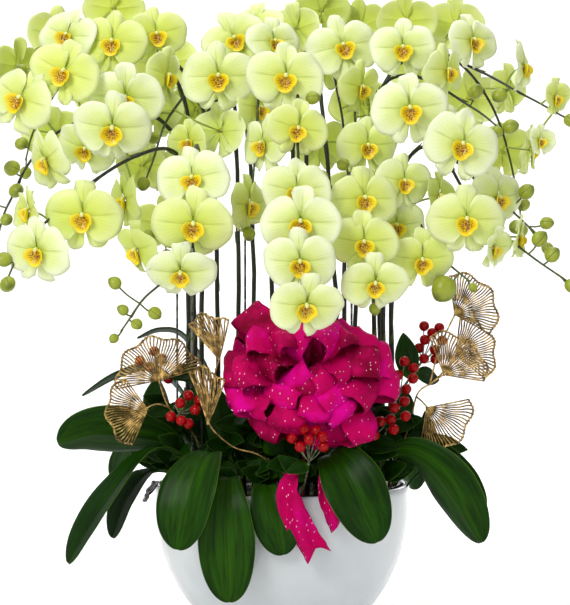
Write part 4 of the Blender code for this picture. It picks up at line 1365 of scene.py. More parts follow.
@dataclass
class GoldPick:
    """Spray of open wire fans on thin wires."""

    plan: Pick
    wire: float = 0.0010
    rib: float = 0.00100
    rim: float = 0.00125
    cup: float = 0.16
    hub: float = 0.0032
    steps: int = 14

    def spot(self, fan: Fan, turn: float, share: float) -> Vector:
        """Point of a fan, whose blade is dished and a little wavy.

        Args:
            fan: The fan.
            turn: Turn from its middle direction, in radians.
            share: How far out, as a share of its radius.

        Returns:
            The point, in metres.
        """
        middle = Vector(fan.middle).normalized()
        normal = Vector(fan.normal)
        normal = (normal - middle * normal.dot(middle)).normalized()
        side = middle.cross(normal)
        reach = fan.radius * CM * share * (1 + 0.05 * math.cos(turn * 9))
        lift = self.cup * reach * share * math.cos(turn * 2) + 0.0010 * math.sin(turn * 40) * share
        return (cm((fan.x, fan.y, fan.z)) + middle * reach * math.cos(turn)
                + side * reach * math.sin(turn) + normal * lift)

    def build(self, finish: Finish) -> None:
        """Makes the wires and the fans.

        Args:
            finish: Their finish.
        """
        wires = Form(0.3)
        for wire in self.plan.wires:
            route = smooth_route([cm(point) for point in wire], 8)
            wires.tube(route, [self.wire] * len(route), 8)
        wires.build(self.plan.name + "_wires", finish, Slot.GOLD, self.plan.name)
        for number, fan in enumerate(self.plan.fans, 1):
            self.fan(fan, f"{self.plan.name}_fan_{number}", finish)

    def fan(self, fan: Fan, name: str, finish: Finish) -> None:
        """Makes one fan: wavy ribs that fork on their way from its stem to a thicker rim.

        Args:
            fan: Its place and size.
            name: Name of the piece.
            finish: Its finish.
        """
        form = Form(0.6)
        half = math.radians(fan.opening) / 2
        ribs = max(17, 2 * round(fan.opening / 9) + 1)
        step_between = 2 * half / (ribs - 1)
        for rib in range(ribs):
            turn = -half + 2 * half * rib / (ribs - 1)
            begin = 0.04 if rib % 2 == 0 or rib == ribs - 1 else 0.34
            route = []
            for step in range(self.steps + 1):
                share = begin + (1 - begin) * step / self.steps
                wave = 0.026 * math.sin(share * 11 + rib * 0.45) * share * (0 < rib < ribs - 1)
                join = -0.5 * step_between * max(0.0, 1 - step / 3) if begin > 0.1 else 0.0
                route.append(self.spot(fan, turn + wave + join, share))
            radii = [blend(0.85, 1.0, step / self.steps) * self.rib for step in range(len(route))]
            form.tube(route, radii, 6)
        count = ribs * 3
        route = [self.spot(fan, -half + 2 * half * step / count, 1 + 0.012 * math.sin(step * 2.1))
                 for step in range(count + 1)]
        form.tube(route, [self.rim] * len(route), 6)
        form.ball(self.spot(fan, 0.0, 0.03), self.hub, 10, 6, Vector(fan.middle), 0.6)
        form.build(name, finish, Slot.GOLD, self.plan.name)


@dataclass
class BerrySprig:
    """Twig with clusters of berries and a few dark leaves."""

    plan: Sprig
    berry: float = 0.0063
    twig: float = 0.0009

    def build(self, twig: Finish, berry: Finish, leaf: Finish) -> None:
        """Makes the twigs, the berries and the leaves.

        Args:
            twig: Finish of the twigs.
            berry: Finish of the berries.
            leaf: Finish of the leaves.
        """
        twigs, berries, trunk = Form(0.4), Form(0.5), []
        for place, branch in enumerate(self.plan.branches):
            route = smooth_route([cm(point) for point in branch], 8)
            trunk += route[4:]
            twigs.tube(route, [self.twig * (1.7 - 0.1 * place)] * len(route), 8)
        for cluster in self.plan.clusters:
            middle = sum((cm(point) for point in cluster), Vector()) / len(cluster)
            joint = min(trunk, key=lambda spot: (spot - middle + Vector((0, 0, 0.02))).length)
            for point in cluster:
                end = cm(point)
                away = (end - joint).normalized()
                bend = joint.lerp(end, 0.5) + Vector((0, 0, -0.002))
                route = smooth_route([joint, bend, end], 4)
                twigs.tube(route, [self.twig * 0.8] * len(route), 6)
                berries.ball(end, self.berry, 18, 12, (away + Vector((0, -0.6, -0.3))).normalized(), 0.98)
        twigs.build(self.plan.name + "_twigs", twig, Slot.BERRY, self.plan.name)
        berries.build(self.plan.name + "_berries", berry, Slot.BERRY, self.plan.name)
        leaves = Form(0.2)
        for number, (root, tip) in enumerate(self.plan.leaves):
            start = min(trunk, key=lambda spot: (spot - cm(root)).length)
            self.leaf(leaves, start, cm(tip), number)
        leaves.build(self.plan.name + "_leaves", leaf, Slot.LEAF, self.plan.name)

    @staticmethod
    def leaf(form: Form, root: Vector, tip: Vector, number: int) -> None:
        """Adds one small pointed leaf, folded a little down its middle.

        Args:
            form: Where it is added.
            root: Its stem end, in metres.
            tip: Its tip.
            number: Its number, which changes its curl.
        """
        along = tip - root
        across = along.cross(Vector((0, -1, 0.35))).normalized()
        face = across.cross(along).normalized()
        wide = along.length * 0.25
        rows = []
        for step in range(12):
            share = step / 11
            half = wide * (0.08 + 0.92 * math.sin(math.pi * share**0.8) ** 0.9) if share < 1 else wide * 0.05
            curl = face * along.length * 0.08 * math.sin(math.pi * share + number)
            rows.append([root + along * share + across * half * over + curl + face * abs(over) * half * 0.3
                         for over in (-1, -0.6, -0.25, 0, 0.25, 0.6, 1)])
        form.plate(rows, 0.0009, 0.5)


# Every row below is in centimetres and degrees. A flower looks to the front at yaw 0, and a
# positive yaw turns it to +X. Positive pitch looks up, positive roll leans the top to +X.
BOW_CENTRE = (2.8, -13.2, 32)
BOW_REACH = (10.2, 5.6, 8.4)

SPIKES = [
    Spike(
        "spike_left_high",
        [(-11.5, -1, 16.5), (-11.3, -1, 40), (-11.5, -2, 56), (-14, -4, 62), (-19, -6, 63),
         (-25, -7, 61.5), (-29, -9.5, 57.5), (-31.5, -11.5, 52), (-32.5, -12, 49)],
        [Bloom(-18.2, -9, 64.6, -5, -20, 0, 8.8), Bloom(-25.2, -10, 67.4, -15, 5, 20, 8.6),
         Bloom(-30.4, -9, 64.4, -25, 5, 28, 9.0), Bloom(-22.6, -11, 58.6, -20, -25, 15, 7.4),
         Bloom(-26.9, -13, 57.1, -50, -15, -10, 8.0)],
        [Bud(-31.1, -12, 56.2, 1.9), Bud(-30.6, -11.6, 53.6, 1.8), Bud(-33.4, -12, 52.5, 1.5),
         Bud(-31.6, -12.5, 50.2, 1.5), Bud(-33.2, -12, 48.3, 1.2)]),
    Spike(
        "spike_left_low",
        [(-10.5, -3, 16.5), (-10.5, -3.5, 40), (-11, -5, 54), (-13, -8.5, 58.5),
         (-17, -12.6, 57.4), (-21.5, -14.6, 54.4), (-26, -15.5, 50.5), (-29.5, -16.5, 46.5),
         (-31, -17.5, 42.5)],
        [Bloom(-19.2, -15, 60.6, 0, -22, 5, 9.0), Bloom(-18, -11, 52.6, -60, -5, 0, 7.6),
         Bloom(-22.3, -17, 50.5, -8, -5, 0, 8.8), Bloom(-28.6, -14.8, 51.2, -60, 0, 0, 6.8),
         Bloom(-27.3, -18, 46.6, -20, -8, 5, 8.2)],
        [Bud(-31.3, -17, 45.6, 1.8), Bud(-30.6, -18.3, 42.8, 1.9)]),
    Spike(
        "spike_left_front",
        [(-9.5, -5, 16.5), (-9.5, -6, 40), (-9.5, -8.5, 54), (-9.6, -12.5, 58.5),
         (-9.8, -16, 57), (-10, -18, 52), (-10.8, -19, 47), (-13, -19.3, 43.5),
         (-15.5, -19.6, 41), (-17.8, -20, 37.5)],
        [Bloom(-9.9, -18.5, 54.5, -10, 15, -5, 8.4), Bloom(-9.8, -20.5, 49.5, 5, -12, 5, 8.8),
         Bloom(-11.1, -21, 44.2, -5, -30, 0, 7.6), Bloom(-16, -19, 46.7, -55, -20, 0, 7.4)],
        [Bud(-18.5, -20, 43, 1.5), Bud(-14, -20, 39.6, 1.5), Bud(-17.6, -20, 40, 1.3),
         Bud(-16, -20.3, 38.4, 1.3), Bud(-18.6, -20, 36.8, 1.1)]),
    Spike(
        "spike_left_top",
        [(-11.5, 2, 16.5), (-11.2, 2, 40), (-11, 1.5, 58), (-12.5, 0, 67), (-16, -1, 70),
         (-20, -1, 70.5), (-25, -1, 70), (-29.5, -0.5, 69), (-33, 0, 66)],
        [Bloom(-20.1, -5, 71.5, -8, 5, 3, 8.4), Bloom(-15, -3.5, 72.6, 10, 5, -10, 7.6),
         Bloom(-13.8, -5, 67.6, 65, -5, 0, 7.4), Bloom(-25.6, -4, 72.4, -20, 10, 15, 7.6)],
        [Bud(-29, -2.5, 70.5, 1.9), Bud(-31.5, -2, 68.5, 1.8), Bud(-34, -0.8, 65, 1.5)]),
    Spike(
        "spike_centre_left",
        [(-5.5, 1, 16.5), (-5.3, 1, 40), (-5.5, 0.5, 58), (-6, -1, 66.5), (-8, -3, 68.5),
         (-11, -4.5, 66), (-13.8, -6.5, 61.5), (-15.6, -8, 56)],
        [Bloom(-5.6, -2.5, 72.2, -5, 8, -20, 8.2), Bloom(-7.4, -8, 67.1, 0, 0, 0, 8.8),
         Bloom(-7.3, -6, 60.9, 150, 0, 0, 7.4), Bloom(-10.8, -8, 59.5, -30, 0, 0, 6.5),
         Bloom(-15.3, -2.5, 63.4, 165, 0, 0, 7.2), Bloom(-16.6, -3.6, 57, -160, -10, 0, 7.0)],
        [Bud(-15, -9, 59.9, 1.5), Bud(-16.2, -8.6, 54.5, 1.6)]),
    Spike(
        "spike_centre_slim",
        [(-1.2, -2, 16.5), (-1.2, -2, 40), (-1.4, -1.5, 60), (-1.6, -0.5, 69), (-2, -2.5, 71),
         (-2.6, -5.5, 67), (-3, -7.5, 60), (-3.6, -8.5, 50)],
        [Bloom(-3.3, 2, 74.4, -20, 20, 0, 7.5), Bloom(-1, -3, 71.8, 30, 10, 0, 7.0),
         Bloom(-2.8, -5.5, 63.7, 50, 0, 0, 7.0), Bloom(-2.1, -9, 59.2, -40, 0, 0, 7.4),
         Bloom(-4, -10.5, 52.1, 60, -5, 0, 7.8)],
        [Bud(-3.8, -9.5, 48.6, 1.6)]),
    Spike(
        "spike_centre_front",
        [(3, -4, 16.5), (3, -4.5, 40), (3, -5, 58), (2.6, -8, 66), (2, -11, 67.5),
         (1.8, -14.5, 63), (1.8, -17.5, 56), (2, -20, 48), (2.5, -21, 40.5)],
        [Bloom(0.5, -13.5, 66.4, 0, 5, 5, 9.0), Bloom(1.8, -16.5, 60.4, 8, -10, 12, 7.2),
         Bloom(1.7, -18.8, 53.2, 0, 5, 0, 8.0), Bloom(2.1, -21, 49.7, 0, -5, 0, 8.8),
         Bloom(2.05, -22.5, 45.3, 0, -10, 0, 8.0), Bloom(2.7, -23.5, 40.6, 8, -20, 4, 8.2)],
        [Bud(3.6, -14.5, 64, 1.6), Bud(4.6, -17, 55, 1.4)]),
    Spike(
        "spike_centre_right",
        [(7, 0, 16.5), (6.6, 0, 40), (5.5, 0, 58), (4.6, 1, 68), (5, 1, 72), (7, -1, 72),
         (8.3, -3.5, 68), (8.8, -5, 62), (9, -6, 56)],
        [Bloom(7.3, -5, 71, 5, 10, -15, 8.6), Bloom(9.2, -8, 65.9, 50, -10, 0, 7.0),
         Bloom(10.4, -5.6, 62.8, 75, 0, 0, 6.8), Bloom(9.9, -10.6, 58.8, 15, 0, 0, 7.4)],
        [Bud(9.8, -6.2, 53.6, 1.5)]),
    Spike(
        "spike_right_column",
        [(7.5, -4, 16.5), (7.5, -4.5, 38), (7.5, -6.3, 51), (7.8, -9.3, 55.2),
         (8.3, -12, 55.4), (8.8, -14, 52.8), (9.3, -15.5, 48.5), (10, -16.5, 42.5)],
        [Bloom(9.3, -15.8, 52.5, 15, 0, 0, 8.2), Bloom(9.2, -18, 47.5, 5, -5, 0, 7.8),
         Bloom(10.4, -19.5, 43, 5, -20, 0, 7.4)],
        [Bud(7, -14, 56.5, 1.5), Bud(10.5, -17, 40, 1.4)]),
    Spike(
        "spike_right_low",
        [(11, -2, 16.5), (11.2, -2.5, 38), (11.4, -4, 49), (12.2, -7, 53.2), (13.8, -9, 53.8),
         (15.5, -10.2, 51), (17.3, -11.5, 47.5), (19.3, -12.5, 45), (21.5, -13.5, 43.2)],
        [Bloom(14, -12.5, 54.6, 20, 0, 0, 7.0), Bloom(18.2, -10, 53, 55, 0, 0, 6.8),
         Bloom(13.2, -11.5, 49.6, 10, -5, 0, 7.2), Bloom(15.9, -14.5, 45.6, 15, -12, 0, 7.8)],
        [Bud(18.5, -14, 42.2, 3.0), Bud(21.9, -13.8, 42.4, 1.1)]),
    Spike(
        "spike_right_front",
        [(12, -4, 16.5), (12.2, -4.5, 40), (12.5, -6, 55), (13, -8.5, 61), (15.5, -11, 61.5),
         (18.5, -12.5, 58), (21.3, -13.3, 53), (24, -14, 49.5), (28.2, -14.5, 46.3),
         (32.3, -15, 43.2)],
        [Bloom(14.6, -14, 62.8, 3, 0, -5, 8.8), Bloom(20.4, -15.5, 58.6, 8, 0, 15, 8.8),
         Bloom(20.8, -17, 50.1, 0, -5, 5, 8.6), Bloom(23.8, -16.5, 47, 60, -10, 0, 6.2),
         Bloom(27, -13.8, 48.2, 70, -5, 0, 6.2)],
        [Bud(29.4, -14.8, 48, 1.9), Bud(30.8, -15, 46.2, 1.8), Bud(33, -15.2, 42.6, 1.7)]),
    Spike(
        "spike_right_buds",
        [(12, 1, 16.5), (12, 1, 40), (11.5, 0, 58), (12, -2, 66), (15, -4, 67.8),
         (19, -5.5, 66), (23, -7, 63.3), (26, -8.5, 60.5)],
        [Bloom(14.3, -6.5, 70.6, 0, 5, 0, 8.0), Bloom(19.3, -8.5, 67.8, 50, 0, 0, 7.0)],
        [Bud(22.8, -8, 65.4, 1.9), Bud(25, -9.3, 60.4, 1.7), Bud(26.8, -9, 61.2, 1.9)]),
    Spike(
        "spike_right_top",
        [(12.5, 3, 16.5), (12.5, 3, 42), (13, 2.5, 60), (15.5, 1.5, 68), (19.5, 0, 70),
         (24, -1.5, 68.5), (29, -3.5, 65.5), (34, -5, 62.5)],
        [Bloom(22.9, -2.5, 72, 35, 5, 0, 7.6), Bloom(28.7, -4, 68.8, 65, 0, 0, 7.4),
         Bloom(32.4, -5.5, 65, 50, -5, 0, 5.6), Bloom(30.5, -6.5, 59.8, 35, 0, 0, 4.6)],
        [Bud(26, -3.8, 65.3, 1.8), Bud(34.4, -5.4, 62.2, 1.7)]),
    Spike(
        "spike_right_long",
        [(13.2, -1, 16.5), (13.4, -1, 40), (14, -1.5, 54), (16.5, -3.5, 59), (20.5, -6, 57.5),
         (23.5, -7.5, 54.5), (26.7, -8.5, 51.7), (30.3, -9.5, 48)],
        [Bloom(25, -10.5, 52.8, 40, 0, 0, 7.6), Bloom(19.4, -8.6, 61, 20, 5, 0, 6.8)],
        [Bud(28.6, -9.5, 53.6, 1.9), Bud(27.3, -10, 49.4, 1.8), Bud(30.9, -10, 49.9, 1.6),
         Bud(31, -10, 46.9, 1.5)]),
    Spike(
        "spike_back_left",
        [(-8, 6, 16.5), (-8, 6, 40), (-9, 6, 60), (-12, 6.5, 69), (-17, 7, 72.5),
         (-22, 8, 72.5), (-27, 9.5, 69), (-31, 11, 64), (-33, 12, 58.5)],
        [Bloom(-20.9, 5, 77, 170, 10, 0, 7.8), Bloom(-28.3, 6.5, 74, -160, 5, 0, 7.6),
         Bloom(-32.9, 6, 70, -140, 0, 0, 7.4), Bloom(-15, 11.5, 71, 170, 0, 5, 8.6),
         Bloom(-22.5, 13, 67.5, 180, -5, -8, 8.8), Bloom(-29.5, 15, 62, -165, -8, 10, 8.4)],
        [Bud(-33.6, 12.8, 60.8, 1.8), Bud(-33, 12.5, 57, 1.6)]),
    Spike(
        "spike_back_centre_left",
        [(-3.5, 8, 16.5), (-3.5, 8, 40), (-4, 9, 58), (-5.5, 11.5, 66), (-8.5, 15, 66.5),
         (-11.5, 18, 62), (-14, 20, 56), (-16, 21.5, 49.5)],
        [Bloom(-5.5, 15.5, 69.5, 175, 5, 0, 8.4), Bloom(-11.2, 20, 65.8, -170, -5, 6, 8.8),
         Bloom(-12.5, 22.5, 58, 175, -10, -6, 8.6), Bloom(-17.8, 20.5, 58.2, -130, -5, 0, 7.8),
         Bloom(-16, 24, 51, -170, -15, 0, 8.0)],
        [Bud(-18, 22, 49, 1.8), Bud(-15.5, 22.5, 46.5, 1.6)]),
    Spike(
        "spike_back_centre",
        [(1, 8, 16.5), (1, 8, 42), (1.5, 8, 62), (2.5, 8.5, 70.5), (4, 10.5, 73.5),
         (6, 14, 72), (7.5, 17.5, 67), (8.5, 19.5, 60), (9, 20.5, 52.5)],
        [Bloom(1.8, 5.5, 74.6, 150, 5, 0, 7.2), Bloom(5, 7, 77, 180, 8, 0, 7.2),
         Bloom(10, 9.5, 75.5, 165, 5, 0, 7.2), Bloom(5.2, 17.5, 71.8, 180, 0, 5, 8.6),
         Bloom(10.5, 21, 66.8, 160, -5, -5, 8.6), Bloom(5, 22, 61.5, -175, -8, 0, 8.4),
         Bloom(10.2, 23.5, 55.2, 170, -12, 8, 8.4)],
        [Bud(8, 21.5, 51, 1.8), Bud(10.2, 21.5, 50, 1.6)]),
    Spike(
        "spike_back_right",
        [(9, 6, 16.5), (9.3, 6, 40), (10.5, 6, 60), (13.5, 7, 69), (18, 8.5, 72),
         (23, 10, 70.5), (27, 12, 65.5), (29.5, 13.5, 59), (31, 14.5, 52)],
        [Bloom(15.6, 5.5, 75.6, 175, 5, 0, 7.4), Bloom(21.8, 7, 75.4, 160, 5, 0, 7.4),
         Bloom(28.4, 7.5, 67.2, 120, 0, 0, 7.4), Bloom(17.5, 13, 71.2, 180, 0, 5, 8.6),
         Bloom(24.5, 15.5, 66.8, 165, -5, -8, 8.8), Bloom(29, 17.5, 60, 155, -10, 5, 8.4),
         Bloom(31.6, 10.5, 59.8, 95, -5, 0, 7.2)],
        [Bud(31.6, 15.8, 53, 1.8), Bud(31.3, 15, 49.6, 1.6)]),
]

LEAVES = [
    Leaf("leaf_left_level", [(-10, -5.5, 16.5), (-12.5, -7.5, 23.5), (-17, -9.5, 25.2),
                             (-22, -10.5, 25.6), (-26, -11, 24.4)], (0.25, -0.45, 0.7), 6.6),
    Leaf("leaf_left_long", [(-8.9, -7.3, 16.5), (-11.9, -10.2, 22.8), (-15.5, -13, 23.5),
                            (-19.5, -14.5, 19), (-22.5, -15, 14.5), (-24.3, -15, 11)],
         (0.5, -0.8, 0.05), 5.6),
    Leaf("leaf_left_dark", [(-10.3, -6.2, 16.5), (-12.7, -8.8, 20.4), (-15.6, -10.6, 20.8),
                            (-18.2, -11.4, 17.6), (-19.6, -11.6, 13.4)], (0.6, -0.75, 0.1), 4.8),
    Leaf("leaf_left_slim", [(-8.6, 3.8, 16.5), (-11.2, 5, 27), (-15.5, 4.2, 32),
                            (-20, 2.8, 31.5), (-24.6, 1.8, 29)], (0, -1, 0.1), 4.8),
    Leaf("leaf_left_upper", [(-6.2, 3.4, 16.5), (-8.6, 3.7, 30), (-12, 4.7, 36),
                             (-15, 4.6, 37), (-18, 4, 36)], (0, -1, 0.1), 4.2),
    Leaf("leaf_front_paddle", [(-7.6, -9.6, 16.5), (-8.2, -11, 21), (-8.1, -13.3, 23.5), (-9.3, -16.9, 22.3),
                               (-10.7, -18.9, 18.3), (-11.6, -19.2, 13.2)], (0.9, -0.35, 0), 6.4),
    Leaf("leaf_front_long", [(-4.9, -7, 16.5), (-4.9, -10.5, 18.9), (-5.3, -12.9, 20), (-6.1, -15.6, 20.7),
                             (-6.2, -17.8, 17.2), (-6.1, -17.6, 12.3), (-5.9, -16.4, 6.8)],
         (1, 0, 0), 5.9),
    Leaf("leaf_front_short", [(-2.5, -7.6, 16.5), (-2.1, -11.5, 18.9), (-1.4, -14.9, 19.8),
                              (-0.8, -16.5, 17.2), (0.2, -16.5, 12.2)], (1, 0.15, 0), 5.2),
    Leaf("leaf_upright", [(-7.2, -6.6, 16.5), (-7, -7.6, 23), (-7.7, -8, 30.5)],
         (1, 0.2, 0), 3.0),
    Leaf("leaf_upright_slim", [(-4.3, -5.4, 16.5), (-4.6, -6.4, 23), (-4.9, -6.8, 28.5)],
         (1, 0.4, 0), 2.4),
    Leaf("leaf_front_right", [(4.2, -8.2, 16.5), (5, -12, 22.6), (6.3, -15.5, 23),
                              (8.2, -18, 20), (10.8, -18.8, 14)], (0.85, 0.2, 0.5), 6.4),
    Leaf("leaf_right_paddle", [(9.6, -7, 16.5), (12.5, -9.5, 22.6), (16, -11.8, 23),
                               (19.5, -13.3, 19.3), (22.9, -13.9, 13.2)],
         (0.35, -0.6, 0.6), 6.6),
    Leaf("leaf_right_dark", [(13.1, -2.6, 16.5), (14.8, -3.8, 22.6), (18, -5.4, 23.4),
                             (21.5, -6.8, 20.4), (24, -7.6, 16.4)], (0.2, -0.9, 0.3), 4.8),
    Leaf("leaf_back_left", [(-9.8, 7, 16.5), (-14, 9.6, 23), (-18.5, 12.2, 22),
                            (-21.5, 13.8, 17.2)], (0.55, 0.8, 0), 6.2),
    Leaf("leaf_back_mid", [(-5.4, 9.4, 16.5), (-7, 13.6, 22.8), (-9, 17.6, 21.6),
                           (-10.4, 19.6, 15)], (0.9, 0.4, 0), 6.2),
    Leaf("leaf_back", [(2.6, 9.8, 16.5), (3.2, 14, 22), (3.8, 17.8, 20.4), (4.2, 19, 13.6)],
         (1, -0.1, 0), 6.2),
    Leaf("leaf_back_right", [(8.4, 8.4, 16.5), (11.8, 12, 23.2), (15.2, 15.4, 21.8),
                             (17.4, 17, 15.6)], (0.7, -0.7, 0), 6.4),
]

BOW_LOOPS = [
    (-0.68, 0.93), (-0.55, 0.50), (-0.28, 0.54), (-0.08, 0.66), (0.20, 0.68), (0.52, 0.70),
    (0.76, 0.56), (-0.92, 0.12), (-0.72, 0.06), (-0.44, 0.24), (-0.16, 0.04), (0.08, -0.02),
    (0.26, 0.02), (0.50, 0.12), (0.78, 0.22), (0.95, 0.24), (-0.31, -0.24), (-0.62, -0.40),
    (-0.80, -0.28), (0.06, -0.42), (0.36, -0.28), (0.42, -0.50), (0.72, -0.24), (0.97, -0.08),
    (-0.24, -0.62), (-0.54, -0.78),
]

TAILS = [
    Tail("ribbon_tail_long", [(1.7, -15.6, 22.2), (1, -16.9, 20.6), (0.9, -17.3, 18.4),
                              (2.2, -17.2, 15.2), (4.3, -16.9, 12)], (0.95, -0.2, 0.3), 3.2, 1.0),
    Tail("ribbon_tail_short", [(5.2, -15.4, 22), (5.2, -16.4, 20), (5.9, -16.6, 17.6),
                               (6.9, -16.5, 15.2)], (0.95, -0.1, 0.3), 2.8, 0.8),
]

PICKS = [
    Pick("gold_pick_left",
         [[(-8.2, -6.2, 16.5), (-9.2, -7.4, 21.5), (-10.2, -9, 25), (-13, -12, 28.6),
           (-14.3, -11.4, 32)],
          [(-13, -12, 28.6), (-14.4, -12.6, 29), (-15.8, -12.8, 28.4)]],
         [Fan(-14.1, -11.5, 31.7, (-0.25, 0.1, 1), (0.1, -1, 0.15), 4.9, 175),
          Fan(-15.4, -12.8, 28.4, (-1, 0, -0.12), (0.15, -1, 0.1), 4.6, 120)]),
    Pick("gold_pick_middle",
         [[(0.9, -10.6, 16.5), (0.5, -12.1, 20.6), (-2.5, -13.6, 23.2), (-5.6, -14.4, 24.3),
           (-8.3, -14.3, 27), (-8.1, -14.5, 30.5), (-7, -14.5, 34.6)]],
         [Fan(-7.1, -14.4, 34.2, (-0.25, -0.05, 1), (-0.75, -0.65, 0), 5.4, 80),
          Fan(-8.4, -14.2, 26.8, (0.05, -0.05, 1), (-0.75, -0.65, 0.1), 6.4, 62)]),
    Pick("gold_pick_right",
         [[(12.6, -5.4, 16.5), (13.4, -6, 21.5), (15, -7.8, 26), (15.9, -9, 29.9),
           (17.5, -9.2, 31.2), (19.2, -9.4, 32.4)],
          [(15.8, -9, 29.6), (16.5, -9, 29), (17.2, -8.8, 28.2)],
          [(17.3, -9.2, 31), (18.6, -8.2, 35.4), (20.6, -7.6, 39.6)],
          [(17.3, -9.2, 31), (19.4, -7.6, 32.8), (20.8, -6.6, 34.6)]],
         [Fan(20.4, -7.7, 39.2, (0.75, 0.1, 0.5), (-0.1, -1, 0.1), 4.9, 125),
          Fan(19, -9.4, 32.2, (0.6, -0.1, 0.75), (-0.1, -1, 0), 4.9, 120),
          Fan(20.6, -6.7, 34.4, (0.9, 0.1, 0.35), (0.1, -1, 0.2), 4.6, 120),
          Fan(17, -8.8, 28.3, (0.72, 0, -0.7), (-0.1, -1, 0.1), 5.2, 110)]),
]

SPRIGS = [
    Sprig("berry_sprig_left",
          [[(-12.2, -3.2, 16.5), (-12.8, -4, 24), (-13.6, -5.6, 29), (-14.6, -7.2, 31.8)],
           [(-13, -4.4, 25.6), (-12.6, -8, 28.4), (-11.8, -10.8, 27.8)]],
          [[(-10.7, -12.6, 30), (-11.6, -13.6, 29.2), (-9.9, -13.2, 28.4), (-9.5, -12.4, 29.4),
            (-12.7, -13, 27.6), (-11.5, -13.6, 27.2), (-10.7, -13, 26.8)],
           [(-16.8, -6.4, 33.7), (-15.1, -6.2, 34.8), (-15.5, -7.2, 33), (-14.2, -6, 33.9),
            (-13.4, -7, 31.6)]],
          [((-13.4, -5.2, 28), (-16.4, -7, 29.6)), ((-12.7, -7, 28), (-15.6, -9.4, 27.8)),
           ((-12, -10.2, 28.2), (-9.6, -9.6, 31))]),
    Sprig("berry_sprig_centre",
          [[(1.7, -9.8, 16.5), (2.7, -14.4, 20.4), (3.1, -16.8, 22.8)]],
          [[(1.2, -18.6, 25.6), (2.1, -19.2, 24.7), (3.1, -19.4, 25.5), (2.6, -18.4, 26.5),
            (3.9, -18.6, 26.4), (4.7, -18.8, 24.7), (4.6, -19.2, 25.8)]],
          [((2.7, -14.4, 20.6), (-0.4, -15.6, 23.4)), ((3.3, -16.2, 22.2), (0.6, -18.2, 21.8))]),
    Sprig("berry_sprig_right",
          [[(11.2, -5.6, 16.5), (11.6, -6.4, 21.5), (12.4, -8, 26), (13.6, -9, 29.6),
            (16.6, -6.6, 33.6)]],
          [[(14.2, -12, 29.3), (14.3, -12.4, 27.6), (10.7, -12.6, 25.4), (12.9, -13, 26.1),
            (12.6, -12.2, 27.2), (11.4, -12.4, 27), (13, -12.6, 28.6)],
           [(14.3, -10.2, 33.8), (15.4, -9.6, 33), (15.3, -10.4, 31.8), (14.5, -10.6, 30.6),
            (13.6, -10, 32.2)],
           [(16.9, -6.2, 37.8), (18.7, -6.2, 37.6), (17.8, -6.8, 37), (16.9, -7, 36.2),
            (19, -6.6, 36.1), (16.3, -6.4, 35.2), (18.1, -7.2, 35), (16.8, -7.4, 34),
            (18.2, -6.6, 33.9)]],
          [((15.2, -7.9, 31.4), (14.4, -6.4, 37)), ((15.6, -7.4, 32.2), (19, -5, 31.4)),
           ((12.4, -8, 26), (16.4, -9.8, 27.2)), ((13, -8.6, 28), (10.6, -7, 26))]),
]

STAKES = [(-12.7, -0.9, 52), (-10.7, -4.5, 47), (-4.5, 1.9, 50), (3.9, -3.2, 53), (8.4, -3.2, 48),
          (13.2, 0.2, 51)]


# Route of the flap of film that laps over the rim, in centimetres.
FLAP_ROUTE = [(-13.2, -4.6, 17.6), (-13.9, -5.2, 19.0), (-15.0, -5.8, 19.1), (-15.9, -6.2, 18.0),
              (-16.3, -6.4, 17.0)]


